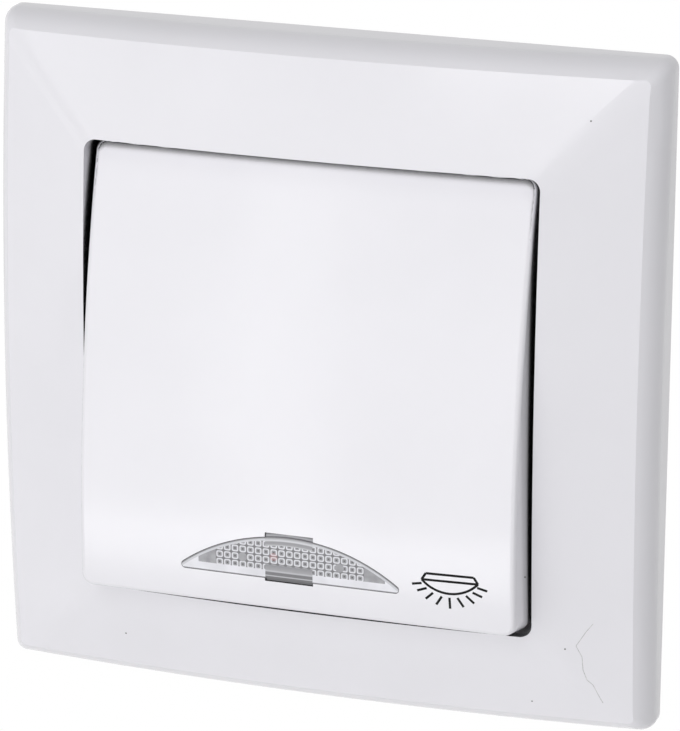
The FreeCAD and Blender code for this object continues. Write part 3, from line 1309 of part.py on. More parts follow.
def terminals():
    made = []
    for name, across, up in TERMINALS:
        middle, height = terminal_place(across, up)
        cage = new_body("terminal_cage_" + name)
        for part, inset, make in (("tube", "0", pad), ("bore", "cage_wall", pocket)):
            make(cage, "cage_%s_%s" % (part, name), "XZ_Plane", CAGE_FRONT, CAGE_REAR,
                 lambda sketch, inset=inset, middle=middle, height=height: rectangle(
                     sketch,
                     "(%s - cage_width / 2 + %s)" % (middle, inset),
                     "(%s + cage_width / 2 - %s)" % (middle, inset),
                     "(%s - cage_height / 2 + %s)" % (height, inset),
                     "(%s + cage_height / 2 - %s)" % (height, inset)))
        near, far = "(%s * cage_up)" % up, "(%s * %s)" % (up, BASE_HALF)
        low, high = (near, far) if up == "1" else (far, near)
        pocket(cage, "cage_thread_" + name, "XY_Plane", low, high,
               lambda sketch, middle=middle: circle(
                   sketch, middle, CAGE_MIDDLE, "(clamp_screw_radius + clamp_screw_clearance)"))
        made.append(cage)

        screw = new_body("terminal_screw_" + name)
        seat = "(%s + clamp_head_gap)" % CAGE_OUTER_UP
        for part, start, end, radius in (
            ("head", seat, "(%s + clamp_head)" % seat, "clamp_head_radius"),
            ("shank", "(%s - clamp_screw_reach)" % CAGE_OUTER_UP,
             "(%s + clamp_head / 2)" % seat, "clamp_screw_radius"),
        ):
            near, far = "(%s * %s)" % (up, start), "(%s * %s)" % (up, end)
            low, high = (near, far) if up == "1" else (far, near)
            pad(screw, "terminal_screw_%s_%s" % (part, name), "XY_Plane", low, high,
                lambda sketch, middle=middle, radius=radius: circle(
                    sketch, middle, CAGE_MIDDLE, radius))
        top = "(%s + clamp_head)" % seat
        near, far = "(%s * (%s - screw_slot_depth))" % (up, top), "(%s * %s)" % (up, BASE_HALF)
        low, high = (near, far) if up == "1" else (far, near)
        pocket(screw, "terminal_screw_slot_" + name, "XY_Plane", low, high,
               lambda sketch, middle=middle: rectangle(
                   sketch, "(%s - clamp_head_radius)" % middle,
                   "(%s + clamp_head_radius)" % middle,
                   "(%s - screw_slot_width / 2)" % CAGE_MIDDLE,
                   "(%s + screw_slot_width / 2)" % CAGE_MIDDLE))
        made.append(screw)
    return made


def signal_lamp():
    holder = new_body("lamp_holder")
    front = "(0 - plate_thickness - lamp_holder_depth)"
    pad(holder, "holder_block", "XZ_Plane", front, "0 - plate_thickness",
        lambda sketch: rectangle(sketch, "(0 - lamp_holder_width / 2)", "(lamp_holder_width / 2)",
                                 "(0 - lamp_holder_bottom)", "(0 - lamp_holder_top)"))
    pins = []
    for side, sign in (("left", "-1"), ("right", "1")):
        outer = "(%s * lamp_holder_width / 2)" % sign
        inner = "(%s * (lamp_holder_width / 2 - lamp_cheek))" % sign
        pad(holder, "holder_cheek_" + side, "XZ_Plane", "0 - lamp_cheek_front",
            "%s + lamp_holder_depth / 2" % front,
            lambda sketch, outer=outer, inner=inner: rectangle(
                sketch, inner, outer, "(0 - lamp_down - lamp_radius)", "(lamp_radius - lamp_down)"))
        pad(holder, "holder_sleeve_" + side, "XZ_Plane", "0 - plate_thickness * 2", "0",
            lambda sketch, sign=sign: circle(sketch, "(%s * lamp_pin_across)" % sign,
                                             "(0 - lamp_pin_down)", "lamp_pin_sleeve"))
        pocket(holder, "holder_pin_hole_" + side, "XZ_Plane", "0 - plate_thickness * 3", "0",
               lambda sketch, sign=sign: circle(sketch, "(%s * lamp_pin_across)" % sign,
                                                "(0 - lamp_pin_down)",
                                                "(lamp_pin_radius + lamp_pin_clearance)"))
        pin = new_body("lamp_pin_" + side)
        pad(pin, "lamp_pin_rod_" + side, "XZ_Plane", "0 - plate_thickness * 3", STRIP_FRONT,
            lambda sketch, sign=sign: circle(sketch, "(%s * lamp_pin_across)" % sign,
                                             "(0 - lamp_pin_down)", "lamp_pin_radius"))
        pins.append(pin)
    pocket(holder, "holder_lead_hole", "YZ_Plane", "0 - lamp_holder_width", "lamp_holder_width",
           lambda sketch: circle(sketch, "(0 - lamp_front)", "(0 - lamp_down)",
                                 "(lamp_lead_radius + lamp_pin_clearance)"))
    lamp = new_body("lamp")
    glass_end = "(lamp_holder_width / 2 - lamp_cheek - lamp_pin_clearance)"
    pad(lamp, "lamp_tube", "YZ_Plane", "0 - %s" % glass_end, glass_end,
        lambda sketch: circle(sketch, "(0 - lamp_front)", "(0 - lamp_down)", "lamp_radius"))
    pad(lamp, "lamp_leads", "YZ_Plane", "lamp_cheek / 2 - lamp_holder_width / 2",
        "lamp_holder_width / 2 - lamp_cheek / 2",
        lambda sketch: circle(sketch, "(0 - lamp_front)", "(0 - lamp_down)", "lamp_lead_radius"))
    return [holder, lamp, group("lamp_pins", pins)]


def claw(side, sign):
    """A spreading claw: a flange behind which the nut bears, and a toothed leg."""
    body = new_body("claw_" + side)
    half = "(claw_width / 2)"
    inner_leg = "(claw_outer - claw_sheet)"
    front = "(%s - claw_leg)" % CLAW_REAR
    pitch = "(claw_leg / 3)"
    points = [
        ("claw_inner", CLAW_REAR),
        ("claw_inner", "claw_front"),
        (inner_leg, "claw_front"),
        (inner_leg, front),
    ]
    foot = front
    for tooth in ("1", "2", "3"):
        points.append(("(claw_outer + claw_tooth)", foot))
        foot = "(%s + %s * %s)" % (front, tooth, pitch)
        points.append(("claw_outer", foot))
    signed = [("(%s * %s)" % (sign, across), up) for across, up in points]
    pad(body, "claw_profile_" + side, "XY_Plane", "0 - %s" % half, half,
        lambda sketch: outline(sketch, signed))
    lip_inner = "(nut_side / 2 + nut_gap)"
    lip_end = "(claw_screw_across - %s - nut_side / 2)" % CLAW_SPREAD
    for level, way in (("lower", "-1"), ("upper", "1")):
        near, far = "(%s * %s)" % (way, lip_inner), "(%s * %s)" % (way, half)
        low, high = (near, far) if way == "1" else (far, near)
        pad(body, "claw_lip_%s_%s" % (level, side), "XY_Plane", low, high,
            lambda sketch: rectangle(sketch, "(%s * %s)" % (sign, lip_end),
                                     "(%s * claw_outer)" % sign,
                                     "(%s - claw_sheet / 2)" % CLAW_REAR,
                                     "(%s + claw_lip)" % CLAW_REAR))
    middle = "(claw_screw_across - %s / 2)" % CLAW_SPREAD
    pocket(body, "claw_slot_" + side, "XZ_Plane", "claw_front - claw_sheet", CLAW_REAR,
           lambda sketch: slot(sketch, "(%s * %s)" % (sign, middle), "0",
                               "(%s / 2)" % CLAW_SPREAD,
                               "(claw_screw_radius + claw_screw_play)"))
    return body


def claw_parts():
    made = []
    for side, sign in (("left", "-1"), ("right", "1")):
        made.append(claw(side, sign))
        across = "(%s * claw_screw_across)" % sign
        screw = new_body("claw_screw_" + side)
        seat = "0 - plate_thickness - claw_head_gap"
        pad(screw, "claw_screw_head_" + side, "XZ_Plane", "%s - claw_head" % seat, seat,
            lambda sketch, across=across: circle(sketch, across, "0", "claw_head_radius"))
        pad(screw, "claw_screw_shank_" + side, "XZ_Plane", "%s - claw_head / 2" % seat,
            "claw_screw_tip",
            lambda sketch, across=across: circle(sketch, across, "0", "claw_screw_radius"))
        pocket(screw, "claw_screw_slot_" + side, "XZ_Plane",
               "%s - claw_head * 2" % seat, "%s - claw_head + screw_slot_depth" % seat,
               lambda sketch, across=across: rectangle(
                   sketch, "(%s - claw_head_radius)" % across, "(%s + claw_head_radius)" % across,
                   "(0 - screw_slot_width / 2)", "(screw_slot_width / 2)"))
        made.append(screw)
        nut = new_body("claw_nut_" + side)
        low = "%s + nut_gap" % CLAW_REAR
        pad(nut, "claw_nut_block_" + side, "XZ_Plane", low, "%s + nut_thickness" % low,
            lambda sketch, across=across: rectangle(
                sketch, "(%s - nut_side / 2)" % across, "(%s + nut_side / 2)" % across,
                "(0 - nut_side / 2)", "(nut_side / 2)"))
        pocket(nut, "claw_nut_thread_" + side, "XZ_Plane", "claw_front", "base_rear",
               lambda sketch, across=across: circle(
                   sketch, across, "0", "(claw_screw_radius + nut_thread_clearance)"))
        made.append(nut)
    return made


def main():
    pieces = cover_frame() + rocker() + lens() + carrier() + return_springs()
    pieces += support_plate() + plate_rivets() + housing_cover() + base_housing()
    pieces += contact_parts() + terminals() + signal_lamp() + claw_parts()
    doc.recompute()
    for item in doc.Objects:
        if "Invalid" in item.State or "Error" in item.State:
            raise RuntimeError("%s could not be built: %s" % (item.Name, item.State))
    os.makedirs("parts", exist_ok=True)
    for piece in pieces:
        if piece.Shape.isNull() or not piece.Shape.isValid():
            raise RuntimeError("%s has no valid shape" % piece.Label)
        piece.Shape.exportStep("parts/%s.step" % piece.Label)


main()
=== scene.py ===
import math

import bmesh
import bpy
from mathutils import Matrix, Vector


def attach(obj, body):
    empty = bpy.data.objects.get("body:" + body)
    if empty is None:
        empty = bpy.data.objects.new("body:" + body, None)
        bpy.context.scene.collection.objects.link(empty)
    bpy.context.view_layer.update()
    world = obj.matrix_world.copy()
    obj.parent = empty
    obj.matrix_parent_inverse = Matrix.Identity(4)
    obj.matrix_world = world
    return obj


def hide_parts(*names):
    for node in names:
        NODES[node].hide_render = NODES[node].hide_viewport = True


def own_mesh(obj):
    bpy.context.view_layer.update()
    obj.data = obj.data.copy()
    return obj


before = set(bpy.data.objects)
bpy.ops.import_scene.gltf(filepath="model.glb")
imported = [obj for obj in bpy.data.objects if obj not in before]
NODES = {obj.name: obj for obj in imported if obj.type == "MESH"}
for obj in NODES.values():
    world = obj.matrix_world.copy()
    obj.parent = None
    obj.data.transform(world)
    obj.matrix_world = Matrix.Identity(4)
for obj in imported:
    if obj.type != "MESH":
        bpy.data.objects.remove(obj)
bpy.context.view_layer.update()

MM = 0.001


# Material helpers

def new_material(name):
    """A new material, with its node tree and its surface shader."""
    material = bpy.data.materials.new(name)
    material.use_nodes = True
    tree = material.node_tree
    shader = tree.nodes["Principled BSDF"]
    return material, tree, shader


def add(tree, kind, **settings):
    """A new node of that kind, with its settings."""
    node = tree.nodes.new(kind)
    for key, value in settings.items():
        setattr(node, key, value)
    return node


def noise(tree, scale, detail=2.0):
    """Noise in the object's own metres: the scale is in spots per metre."""
    place = add(tree, "ShaderNodeTexCoord")
    node = add(tree, "ShaderNodeTexNoise")
    tree.links.new(place.outputs["Object"], node.inputs["Vector"])
    node.inputs["Scale"].default_value = scale
    node.inputs["Detail"].default_value = detail
    return node.outputs["Fac"]


def ramp(tree, factor, stops):
    """A colour ramp over the factor, from (place, colour) stops."""
    node = add(tree, "ShaderNodeValToRGB")
    elements = node.color_ramp.elements
    while len(elements) < len(stops):
        elements.new(0.5)
    for element, (place, colour) in zip(elements, stops):
        element.position = place
        element.color = colour
    tree.links.new(factor, node.inputs["Fac"])
    return node.outputs["Color"]


def cool(value):
    """A grey with a little blue in it, as clear plastic over a shaded ground looks."""
    return (value * 0.985, value * 0.985, min(1.0, value * 1.045), 1.0)


def grey(value):
    return (value, value, value, 1.0)


def bump(tree, shader, height, strength, distance):
    """A fine uneven surface, from a height that varies."""
    node = add(tree, "ShaderNodeBump")
    node.inputs["Strength"].default_value = strength
    node.inputs["Distance"].default_value = distance
    tree.links.new(height, node.inputs["Height"])
    tree.links.new(node.outputs["Normal"], shader.inputs["Normal"])


def calc(tree, operation, *values):
    """A math node on numbers or sockets, and its result."""
    node = add(tree, "ShaderNodeMath", operation=operation)
    for socket, value in zip(node.inputs, values):
        if isinstance(value, (int, float)):
            socket.default_value = value
        else:
            tree.links.new(value, socket)
    return node.outputs[0]


def blended(tree, factor, first, second):
    """The first colour where the factor is 0 and the second where it is 1."""
    node = add(tree, "ShaderNodeMix", data_type="RGBA", clamp_factor=True)
    sockets = (node.inputs[0], node.inputs[6], node.inputs[7])
    for socket, value in zip(sockets, (factor, first, second)):
        if isinstance(value, tuple):
            socket.default_value = value
        else:
            tree.links.new(value, socket)
    return node.outputs[2]


# Shares and tones that the finishes use
COLOUR_DRIFT = 0.975
PLATING_MOTTLE = 0.72
STREAK_STRETCH = 12.0
INK_DRIFT = 1.6
# Dark tone and middle share of the painted shade in gaps and under the lip
PAINTED_SHADE_TONE, PAINTED_SHADE_MIDDLE = 0.012, 0.35
FACES_THE_ROOM = -0.9


def looks_aside(tree):
    """1 on faces turned away from the front, 0 on those that look into the room."""
    parts = add(tree, "ShaderNodeSeparateXYZ")
    tree.links.new(add(tree, "ShaderNodeNewGeometry").outputs["True Normal"], parts.inputs[0])
    return calc(tree, "GREATER_THAN", parts.outputs["Y"], FACES_THE_ROOM)


def moulded_plastic(name, colour, rough, spread, grain, depth, painted_shades=()):
    """A moulded plastic: faint colour that varies at random, a gloss that varies a little and a
    fine surface.
    Each painted shade darkens the colour where the surface is shut in, in gaps and under lips: it
    has a reach and three shares of open air, shut in it is dark, and clear of it plain.
    A painted shade marked front shows on faces that look into the room alone."""
    material, tree, shader = new_material(name)
    dim = [part * COLOUR_DRIFT for part in colour]
    drift_and_shade = ramp(tree, noise(tree, 55.0, 3.0), [(0.3, (*dim, 1.0)), (0.7, (*colour, 1.0))])
    # Painted shade: each ambient-occlusion ramp darkens the colour where the surface is shut in
    for reach, shut, ajar, clear, front in painted_shades:
        shelter = add(tree, "ShaderNodeAmbientOcclusion", samples=10)
        shelter.inputs["Distance"].default_value = reach
        open_air = ramp(tree, shelter.outputs["AO"], [
            (shut, grey(0.0)), (ajar, grey(PAINTED_SHADE_MIDDLE)), (clear, grey(1.0)),
        ])
        if front:
            open_air = calc(tree, "MAXIMUM", open_air, looks_aside(tree))
        drift_and_shade = blended(tree, open_air, grey(PAINTED_SHADE_TONE), drift_and_shade)
    tree.links.new(drift_and_shade, shader.inputs["Base Color"])
    gloss = ramp(tree, noise(tree, 240.0, 4.0), [
        (0.25, grey(rough - spread)), (0.75, grey(rough + spread)),
    ])
    tree.links.new(gloss, shader.inputs["Roughness"])
    bump(tree, shader, noise(tree, grain, 2.0), 0.25, depth)
    return material


def plated_metal(name, colour, rough, grain):
    """A plated or stamped metal with brushed streaks and a mottled plating."""
    material, tree, shader = new_material(name)
    shader.inputs["Metallic"].default_value = 1.0
    dark = [part * PLATING_MOTTLE for part in colour]
    tree.links.new(
        ramp(tree, noise(tree, 380.0, 5.0), [(0.3, (*dark, 1.0)), (0.65, (*colour, 1.0))]),
        shader.inputs["Base Color"],
    )
    place = add(tree, "ShaderNodeTexCoord")
    stretch = add(tree, "ShaderNodeMapping")
    stretch.inputs["Scale"].default_value = (grain, grain, grain * STREAK_STRETCH)
    streak = add(tree, "ShaderNodeTexNoise")
    streak.inputs["Scale"].default_value = 1.0
    streak.inputs["Detail"].default_value = 6.0
    tree.links.new(place.outputs["Object"], stretch.inputs["Vector"])
    tree.links.new(stretch.outputs["Vector"], streak.inputs["Vector"])
    tree.links.new(
        ramp(tree, streak.outputs["Fac"], [(0.3, grey(rough - 0.1)), (0.7, grey(rough + 0.12))]),
        shader.inputs["Roughness"],
    )
    bump(tree, shader, streak.outputs["Fac"], 0.3, 0.02 * MM)
    return material


# Painted shade: ambient occlusion darkens the colour in the deep gaps between two mouldings, and
# paints the shadow line that the frame's lip casts on the button

# Each: reach, three shares of open air, and whether it shows on the front faces alone
GAP_SHADE = (1.9 * MM, 0.18, 0.32, 0.44, False)
FRAME_GAP_SHADE = (2.4 * MM, 0.22, 0.38, 0.5, False)
LIP_SHADOW = (1.8 * MM, 0.66, 0.72, 0.85, True)

GLOSSY_WHITE = {
    "colour": (0.85, 0.842, 0.884),
    "rough": 0.13,
    "spread": 0.025,
    "grain": 900.0,
    "depth": 0.01 * MM,
}
# The frame's colour carries painted shade in its gaps; the button's carries painted shade in its
# gaps and a painted shadow line under the frame's lip
WHITE = moulded_plastic("white_frame", painted_shades=(FRAME_GAP_SHADE,), **GLOSSY_WHITE)
WHITE_BUTTON = moulded_plastic("white_button", painted_shades=(GAP_SHADE, LIP_SHADOW), **GLOSSY_WHITE)
LIGHT = moulded_plastic(
    "light_plastic", (0.72, 0.72, 0.70), rough=0.45, spread=0.06, grain=1400.0, depth=0.03 * MM
)
GREY = moulded_plastic(
    "grey_plastic", (0.42, 0.43, 0.44), rough=0.5, spread=0.06, grain=1400.0, depth=0.04 * MM
)
ZINC = plated_metal("zinc_steel", (0.62, 0.63, 0.64), rough=0.38, grain=400.0)
WIRE = plated_metal("spring_wire", (0.5, 0.5, 0.5), rough=0.3, grain=900.0)
BRASS = plated_metal("brass", (0.72, 0.52, 0.24), rough=0.32, grain=500.0)
SILVER = plated_metal("contact_silver", (0.8, 0.8, 0.78), rough=0.28, grain=700.0)


def clear_plastic():
    """Clear plastic or glass, a little uneven."""
    material, tree, shader = new_material("clear_plastic")
    shader.inputs["Base Color"].default_value = (0.93, 0.94, 0.95, 1.0)
    shader.inputs["Transmission Weight"].default_value = 0.92
    shader.inputs["IOR"].default_value = 1.49
    tree.links.new(
        ramp(tree, noise(tree, 500.0, 3.0), [(0.3, grey(0.05)), (0.7, grey(0.12))]),
        shader.inputs["Roughness"],
    )
    bump(tree, shader, noise(tree, 700.0, 2.0), 0.15, 0.02 * MM)
    return material


CLEAR = clear_plastic()


# The window in the button: sizes in mm, measured on the button's own face

REST_TILT = math.radians(7.1)
PIVOT_FRONT = 6.0 * MM
WINDOW_MIDDLE, WINDOW_FOOT = -0.45, -23.3
WINDOW_RISE, WINDOW_RADIUS = 5.25, 22.35
WINDOW_BORDER, WINDOW_RIM = 1.0, 0.42
GROUND_LEFT, GROUND_RIGHT = -11.4, 11.9
SQUARE_COLUMNS, SQUARE_PITCH, FIRST_COLUMN = 19, 0.975, -8.7
ROW_PITCH, FIRST_ROW = 0.96, 1.32
PLAIN_SPOTS, PLAIN_RADIUS = ((-5.8, 2.25), (6.3, 2.3)), 0.55
GLOW, GLOW_RADIUS, GLOW_SHARE, GLOW_COLOUR = (-1.9, 2.7), 0.5, 0.16, (0.75, 0.12, 0.1, 1.0)
FOOT_LINE = 0.12
CLIP_HALF, CLIP_FOOT, CLIP_HEAD = 2.95, 1.7, 1.05
CLIP_OVERHANG, LOW_CLIP_BANDS, TOP_CLIP_BANDS = 0.4, 2.2, 1.5


def spot(tree, across, height, place, radius):
    """1 inside a round spot, 0 outside."""
    away = calc(
        tree, "SQRT",
        calc(tree, "ADD",
             calc(tree, "POWER", calc(tree, "SUBTRACT", across, place[0]), 2.0),
             calc(tree, "POWER", calc(tree, "SUBTRACT", height, place[1]), 2.0)),
    )
    return calc(tree, "LESS_THAN", away, radius)


def window_plastic():
    """Clear plastic with rows of small moulded squares behind a plain border."""
    material, tree, shader = new_material("window_plastic")
    place = add(tree, "ShaderNodeTexCoord")
    parts = add(tree, "ShaderNodeSeparateXYZ")
    tree.links.new(place.outputs["Object"], parts.inputs[0])
    side, depth, level = (parts.outputs[axis] for axis in "XYZ")
    across = calc(tree, "SUBTRACT", calc(tree, "DIVIDE", side, MM), WINDOW_MIDDLE)
    forward = calc(tree, "MULTIPLY", calc(tree, "ADD", depth, PIVOT_FRONT), math.sin(REST_TILT))
    upright = calc(tree, "MULTIPLY", level, math.cos(REST_TILT))
    on_face = calc(tree, "DIVIDE", calc(tree, "ADD", forward, upright), MM)
    height = calc(tree, "SUBTRACT", on_face, WINDOW_FOOT)
    from_centre = calc(tree, "ADD", height, WINDOW_RADIUS - WINDOW_RISE)
    reach = calc(tree, "SQRT", calc(
        tree, "ADD", calc(tree, "POWER", across, 2.0), calc(tree, "POWER", from_centre, 2.0)))
    under_arc = calc(tree, "SUBTRACT", WINDOW_RADIUS, reach)

    column = calc(tree, "DIVIDE", calc(tree, "SUBTRACT", across, FIRST_COLUMN), SQUARE_PITCH)
    row = calc(tree, "DIVIDE", calc(tree, "SUBTRACT", height, FIRST_ROW), ROW_PITCH)
    rounded = [
        calc(tree, "POWER", calc(tree, "SUBTRACT", count, calc(tree, "ROUND", count)), 4.0)
        for count in (column, row)
    ]
    square = calc(tree, "POWER", calc(tree, "ADD", *rounded), 0.25)
    pattern = ramp(tree, square, [
        (0.06, cool(0.09)), (0.13, cool(0.28)), (0.24, cool(0.32)), (0.31, cool(0.74)),
        (0.4, cool(0.74)), (0.47, cool(0.18)), (0.5, cool(0.18)),
    ])
    ground = ramp(tree, noise(tree, 900.0, 3.0), [(0.3, cool(0.3)), (0.7, cool(0.42))])
    in_columns = calc(tree, "MULTIPLY",
                      calc(tree, "GREATER_THAN", column, -0.5),
                      calc(tree, "LESS_THAN", column, SQUARE_COLUMNS - 0.5))
    plain = calc(tree, "SUBTRACT", 1.0, in_columns)
    for where in PLAIN_SPOTS:
        plain = calc(tree, "MAXIMUM", plain, spot(tree, across, height, where, PLAIN_RADIUS))
    inner = blended(tree, plain, pattern, ground)
    glow = calc(tree, "MULTIPLY", spot(tree, across, height, GLOW, GLOW_RADIUS), GLOW_SHARE)
    inner = blended(tree, glow, inner, GLOW_COLOUR)

    ends = calc(tree, "MAXIMUM",
                calc(tree, "LESS_THAN", across, GROUND_LEFT),
                calc(tree, "GREATER_THAN", across, GROUND_RIGHT))
    border = calc(tree, "MAXIMUM", ends, calc(tree, "LESS_THAN", height, WINDOW_BORDER))
    white = ramp(tree, noise(tree, 300.0, 2.0), [(0.3, cool(0.74)), (0.7, cool(0.88))])
    inner = blended(tree, border, inner, white)
    rim = ramp(tree, calc(tree, "DIVIDE", under_arc, WINDOW_RIM), [
        (0.0, cool(0.2)), (0.3, cool(0.26)), (0.45, cool(0.6)), (1.0, cool(0.66)),
    ])
    inner = blended(tree, calc(tree, "LESS_THAN", under_arc, WINDOW_RIM), inner, rim)
    foot_line = calc(tree, "LESS_THAN", height, FOOT_LINE)
    inner = blended(tree, foot_line, inner, cool(0.32))

    under_clip = calc(tree, "LESS_THAN", calc(tree, "ABSOLUTE", across), CLIP_HALF)
    up_clip = calc(tree, "DIVIDE", calc(tree, "ADD", height, CLIP_OVERHANG), LOW_CLIP_BANDS)
    low_clip = ramp(tree, up_clip, [
        (0.0, cool(0.16)), (0.28, cool(0.16)), (0.33, cool(0.6)), (0.37, cool(0.2)),
        (0.52, cool(0.2)), (0.58, cool(0.55)), (0.66, cool(0.36)), (1.0, cool(0.26)),
    ])
    at_low_clip = calc(tree, "MULTIPLY", under_clip, calc(tree, "LESS_THAN", height, CLIP_FOOT))
    inner = blended(tree, at_low_clip, inner, low_clip)
    down_clip = calc(tree, "DIVIDE", calc(tree, "ADD", under_arc, CLIP_OVERHANG), TOP_CLIP_BANDS)
    top_clip = ramp(tree, down_clip, [
        (0.0, cool(0.2)), (0.16, cool(0.5)), (0.3, cool(0.2)), (0.4, cool(0.45)),
        (0.55, cool(0.68)), (0.65, cool(0.3)), (0.85, cool(0.34)), (1.0, cool(0.66)),
    ])
    near_arc = calc(tree, "LESS_THAN", under_arc, CLIP_HEAD)
    at_top_clip = calc(tree, "MULTIPLY", under_clip, near_arc)
    inner = blended(tree, at_top_clip, inner, top_clip)

    tree.links.new(inner, shader.inputs["Base Color"])
    shader.inputs["Specular IOR Level"].default_value = 0.25
    shader.inputs["Coat Weight"].default_value = 0.15
    shader.inputs["Coat Roughness"].default_value = 0.08
    tree.links.new(
        ramp(tree, noise(tree, 500.0, 3.0), [(0.3, grey(0.16)), (0.7, grey(0.26))]),
        shader.inputs["Roughness"],
    )
    bump(tree, shader, square, 0.35, 0.12 * MM)
    return material


WINDOW = window_plastic()

FINISHES = (
    (WHITE, ("cover_frame",)),
    (WHITE_BUTTON, ("rocker",)),
    (WINDOW, ("lens",)),
    (LIGHT, ("carrier", "housing_cover", "lamp_holder")),
    (GREY, ("base_housing",)),
    (ZINC, (
        "support_plate", "plate_rivets",
        "claw_left", "claw_right", "claw_nut_left", "claw_nut_right",
        "claw_screw_left", "claw_screw_right",
        "terminal_screw_line", "terminal_screw_switched", "terminal_screw_neutral",
    )),
    (WIRE, ("return_spring_left", "return_spring_right", "arm_pin")),
    (BRASS, (
        "line_strip", "switched_strip", "neutral_strip", "contact_arm", "lamp_pins",
        "terminal_cage_line", "terminal_cage_switched", "terminal_cage_neutral",
    )),
    (SILVER, ("fixed_contact", "moving_contact")),
    (CLEAR, ("lamp",)),
)

for finish, node_names in FINISHES:
    for node_name in node_names:
        mesh = NODES[node_name].data
        mesh.materials.clear()
        mesh.materials.append(finish)


def show(name, data):
    """A new object in the scene, made of that data."""
    piece = bpy.data.objects.new(name, data)
    bpy.context.scene.collection.objects.link(piece)
    return piece


# Camera: the photograph's own view

YAW, PITCH, ROLL = math.radians(18.51), math.radians(17.74), math.radians(0.28)
TARGET = Vector((0.5, 0.0, -0.28)) * MM
DISTANCE = 504.2 * MM
FOCAL_PIXELS = 4209.0
PHOTO_WIDTH, PHOTO_HEIGHT = 680.0, 731.0
SENSOR_WIDTH = 36.0

back = Vector((
    math.sin(YAW) * math.cos(PITCH), -math.cos(YAW) * math.cos(PITCH), math.sin(PITCH),
))
right = Vector((math.cos(YAW), math.sin(YAW), 0.0))
up = right.cross(-back)
right_rolled = math.cos(ROLL) * right + math.sin(ROLL) * up
up_rolled = -math.sin(ROLL) * right + math.cos(ROLL) * up
lens_data = bpy.data.cameras.new("camera")
lens_data.sensor_fit = "HORIZONTAL"
lens_data.sensor_width = SENSOR_WIDTH
lens_data.lens = FOCAL_PIXELS * SENSOR_WIDTH / PHOTO_WIDTH
lens_data.clip_start = 0.01
camera = show("camera", lens_data)
camera.matrix_world = Matrix.Translation(TARGET + back * DISTANCE) @ Matrix(
    (right_rolled, up_rolled, back)
).transposed().to_4x4()
bpy.context.scene.camera = camera


# The printed symbol on the button and the marks on the frame

def dark_print(name, tone, gloss):
    """Ink or a shaded mark: a little uneven and half matt."""
    material, tree, shader = new_material(name)
    shader.inputs["Specular IOR Level"].default_value = gloss
    shade = ramp(tree, noise(tree, 2500.0, 3.0), [
        (0.35, grey(tone)), (0.75, grey(tone * INK_DRIFT)),
    ])
    tree.links.new(shade, shader.inputs["Base Color"])
    tree.links.new(
        ramp(tree, noise(tree, 1800.0, 2.0), [(0.3, grey(0.4)), (0.7, grey(0.55))]),
        shader.inputs["Roughness"],
    )
    bump(tree, shader, noise(tree, 3000.0, 2.0), 0.2, 0.01 * MM)
    return material


INK = dark_print("symbol_ink", 0.005, 0.12)
SCRATCH = dark_print("scratch_shade", 0.42, 0.4)
SPECK = dark_print("speck_shade", 0.12, 0.4)
PRINT_LIFT = 0.012 * MM
IN_FRONT = -40.0 * MM


def hit(node_name, origin, direction):
    """The point and the normal where a line from outside first meets a CAD node."""
    found, point, normal, _ = NODES[node_name].ray_cast(origin, direction)
    if not found:
        raise RuntimeError("nothing of %s is met there" % node_name)
    return point, normal


def on_button(across, height):
    """A place on the button's face, from its own coordinates in mm."""
    tilt = Matrix.Rotation(-REST_TILT, 4, "X")
    pivot = Vector((0.0, -PIVOT_FRONT, 0.0))
    start = Vector((across * MM, IN_FRONT, height * MM))
    inward = tilt.to_3x3() @ Vector((0.0, 1.0, 0.0))
    return hit("rocker", pivot + tilt @ (start - pivot), inward)


def at_pixel(node_name, pixel):
    """A place on a CAD node, from a pixel of the photograph."""
    across = (pixel[0] - PHOTO_WIDTH / 2) / FOCAL_PIXELS
    down = (pixel[1] - PHOTO_HEIGHT / 2) / FOCAL_PIXELS
    direction = (across * right_rolled - down * up_rolled - back).normalized()
    return hit(node_name, camera.matrix_world.translation, direction)


# A line's section: shares of its width, and how far each lies over the surface

SECTION = ((-0.6, -PRINT_LIFT), (-0.5, PRINT_LIFT), (0.5, PRINT_LIFT), (0.6, -PRINT_LIFT))


def ribbon(name, body, material, places, width):
    """A thin flat line over places on a surface, with sides that slope down into the surface."""
    points = [place[0] for place in places]
    mesh = bmesh.new()
    rows = []
    for number, (point, normal) in enumerate(places):
        before, after = points[max(number - 1, 0)], points[min(number + 1, len(points) - 1)]
        aside = normal.cross(after - before).normalized()
        rows.append([
            mesh.verts.new(point + aside * (width * share) + normal * lift)
            for share, lift in SECTION
        ])
    for row, following in zip(rows, rows[1:]):
        for corner in range(len(SECTION) - 1):
            mesh.faces.new(
                (row[corner], following[corner], following[corner + 1], row[corner + 1])
            )
    for row in (rows[0], rows[-1]):
        mesh.faces.new(row)
    bmesh.ops.recalc_face_normals(mesh, faces=mesh.faces)
    data = bpy.data.meshes.new(name)
    mesh.to_mesh(data)
    mesh.free()
    data.materials.append(material)
    piece = show(name, data)
    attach(piece, body)


def between(first, last, count):
    """Evenly spaced places from first to last."""
    return [
        tuple(a + (b - a) * step / count for a, b in zip(first, last))
        for step in range(count + 1)
    ]


# The symbol: places on the button's face in mm, and the steps that its lines are cut into

SYMBOL_LINE = 0.27 * MM
SYMBOL_TOP = ((16.41, -20.35), (22.2, -20.25))
SYMBOL_ENDS = ((15.91, -21.15), (22.73, -21.02))
SYMBOL_DEPTH = 1.5
LONG_STEPS, SHORT_STEPS, BOWL_STEPS = 6, 2, 16
SYMBOL_RAYS = (
    ((14.74, -21.84), (15.91, -21.63)),
    ((15.38, -22.61), (16.53, -22.18)),
    ((16.42, -23.52), (17.3, -22.69)),
    ((17.71, -24.09), (18.37, -23.01)),
    ((19.38, -24.42), (19.3, -23.06)),
    ((21.02, -24.03), (20.26, -22.98)),
    ((22.29, -23.43), (21.3, -22.59)),
    ((23.24, -22.53), (22.09, -22.11)),
    ((23.85, -21.74), (22.64, -21.46)),
)


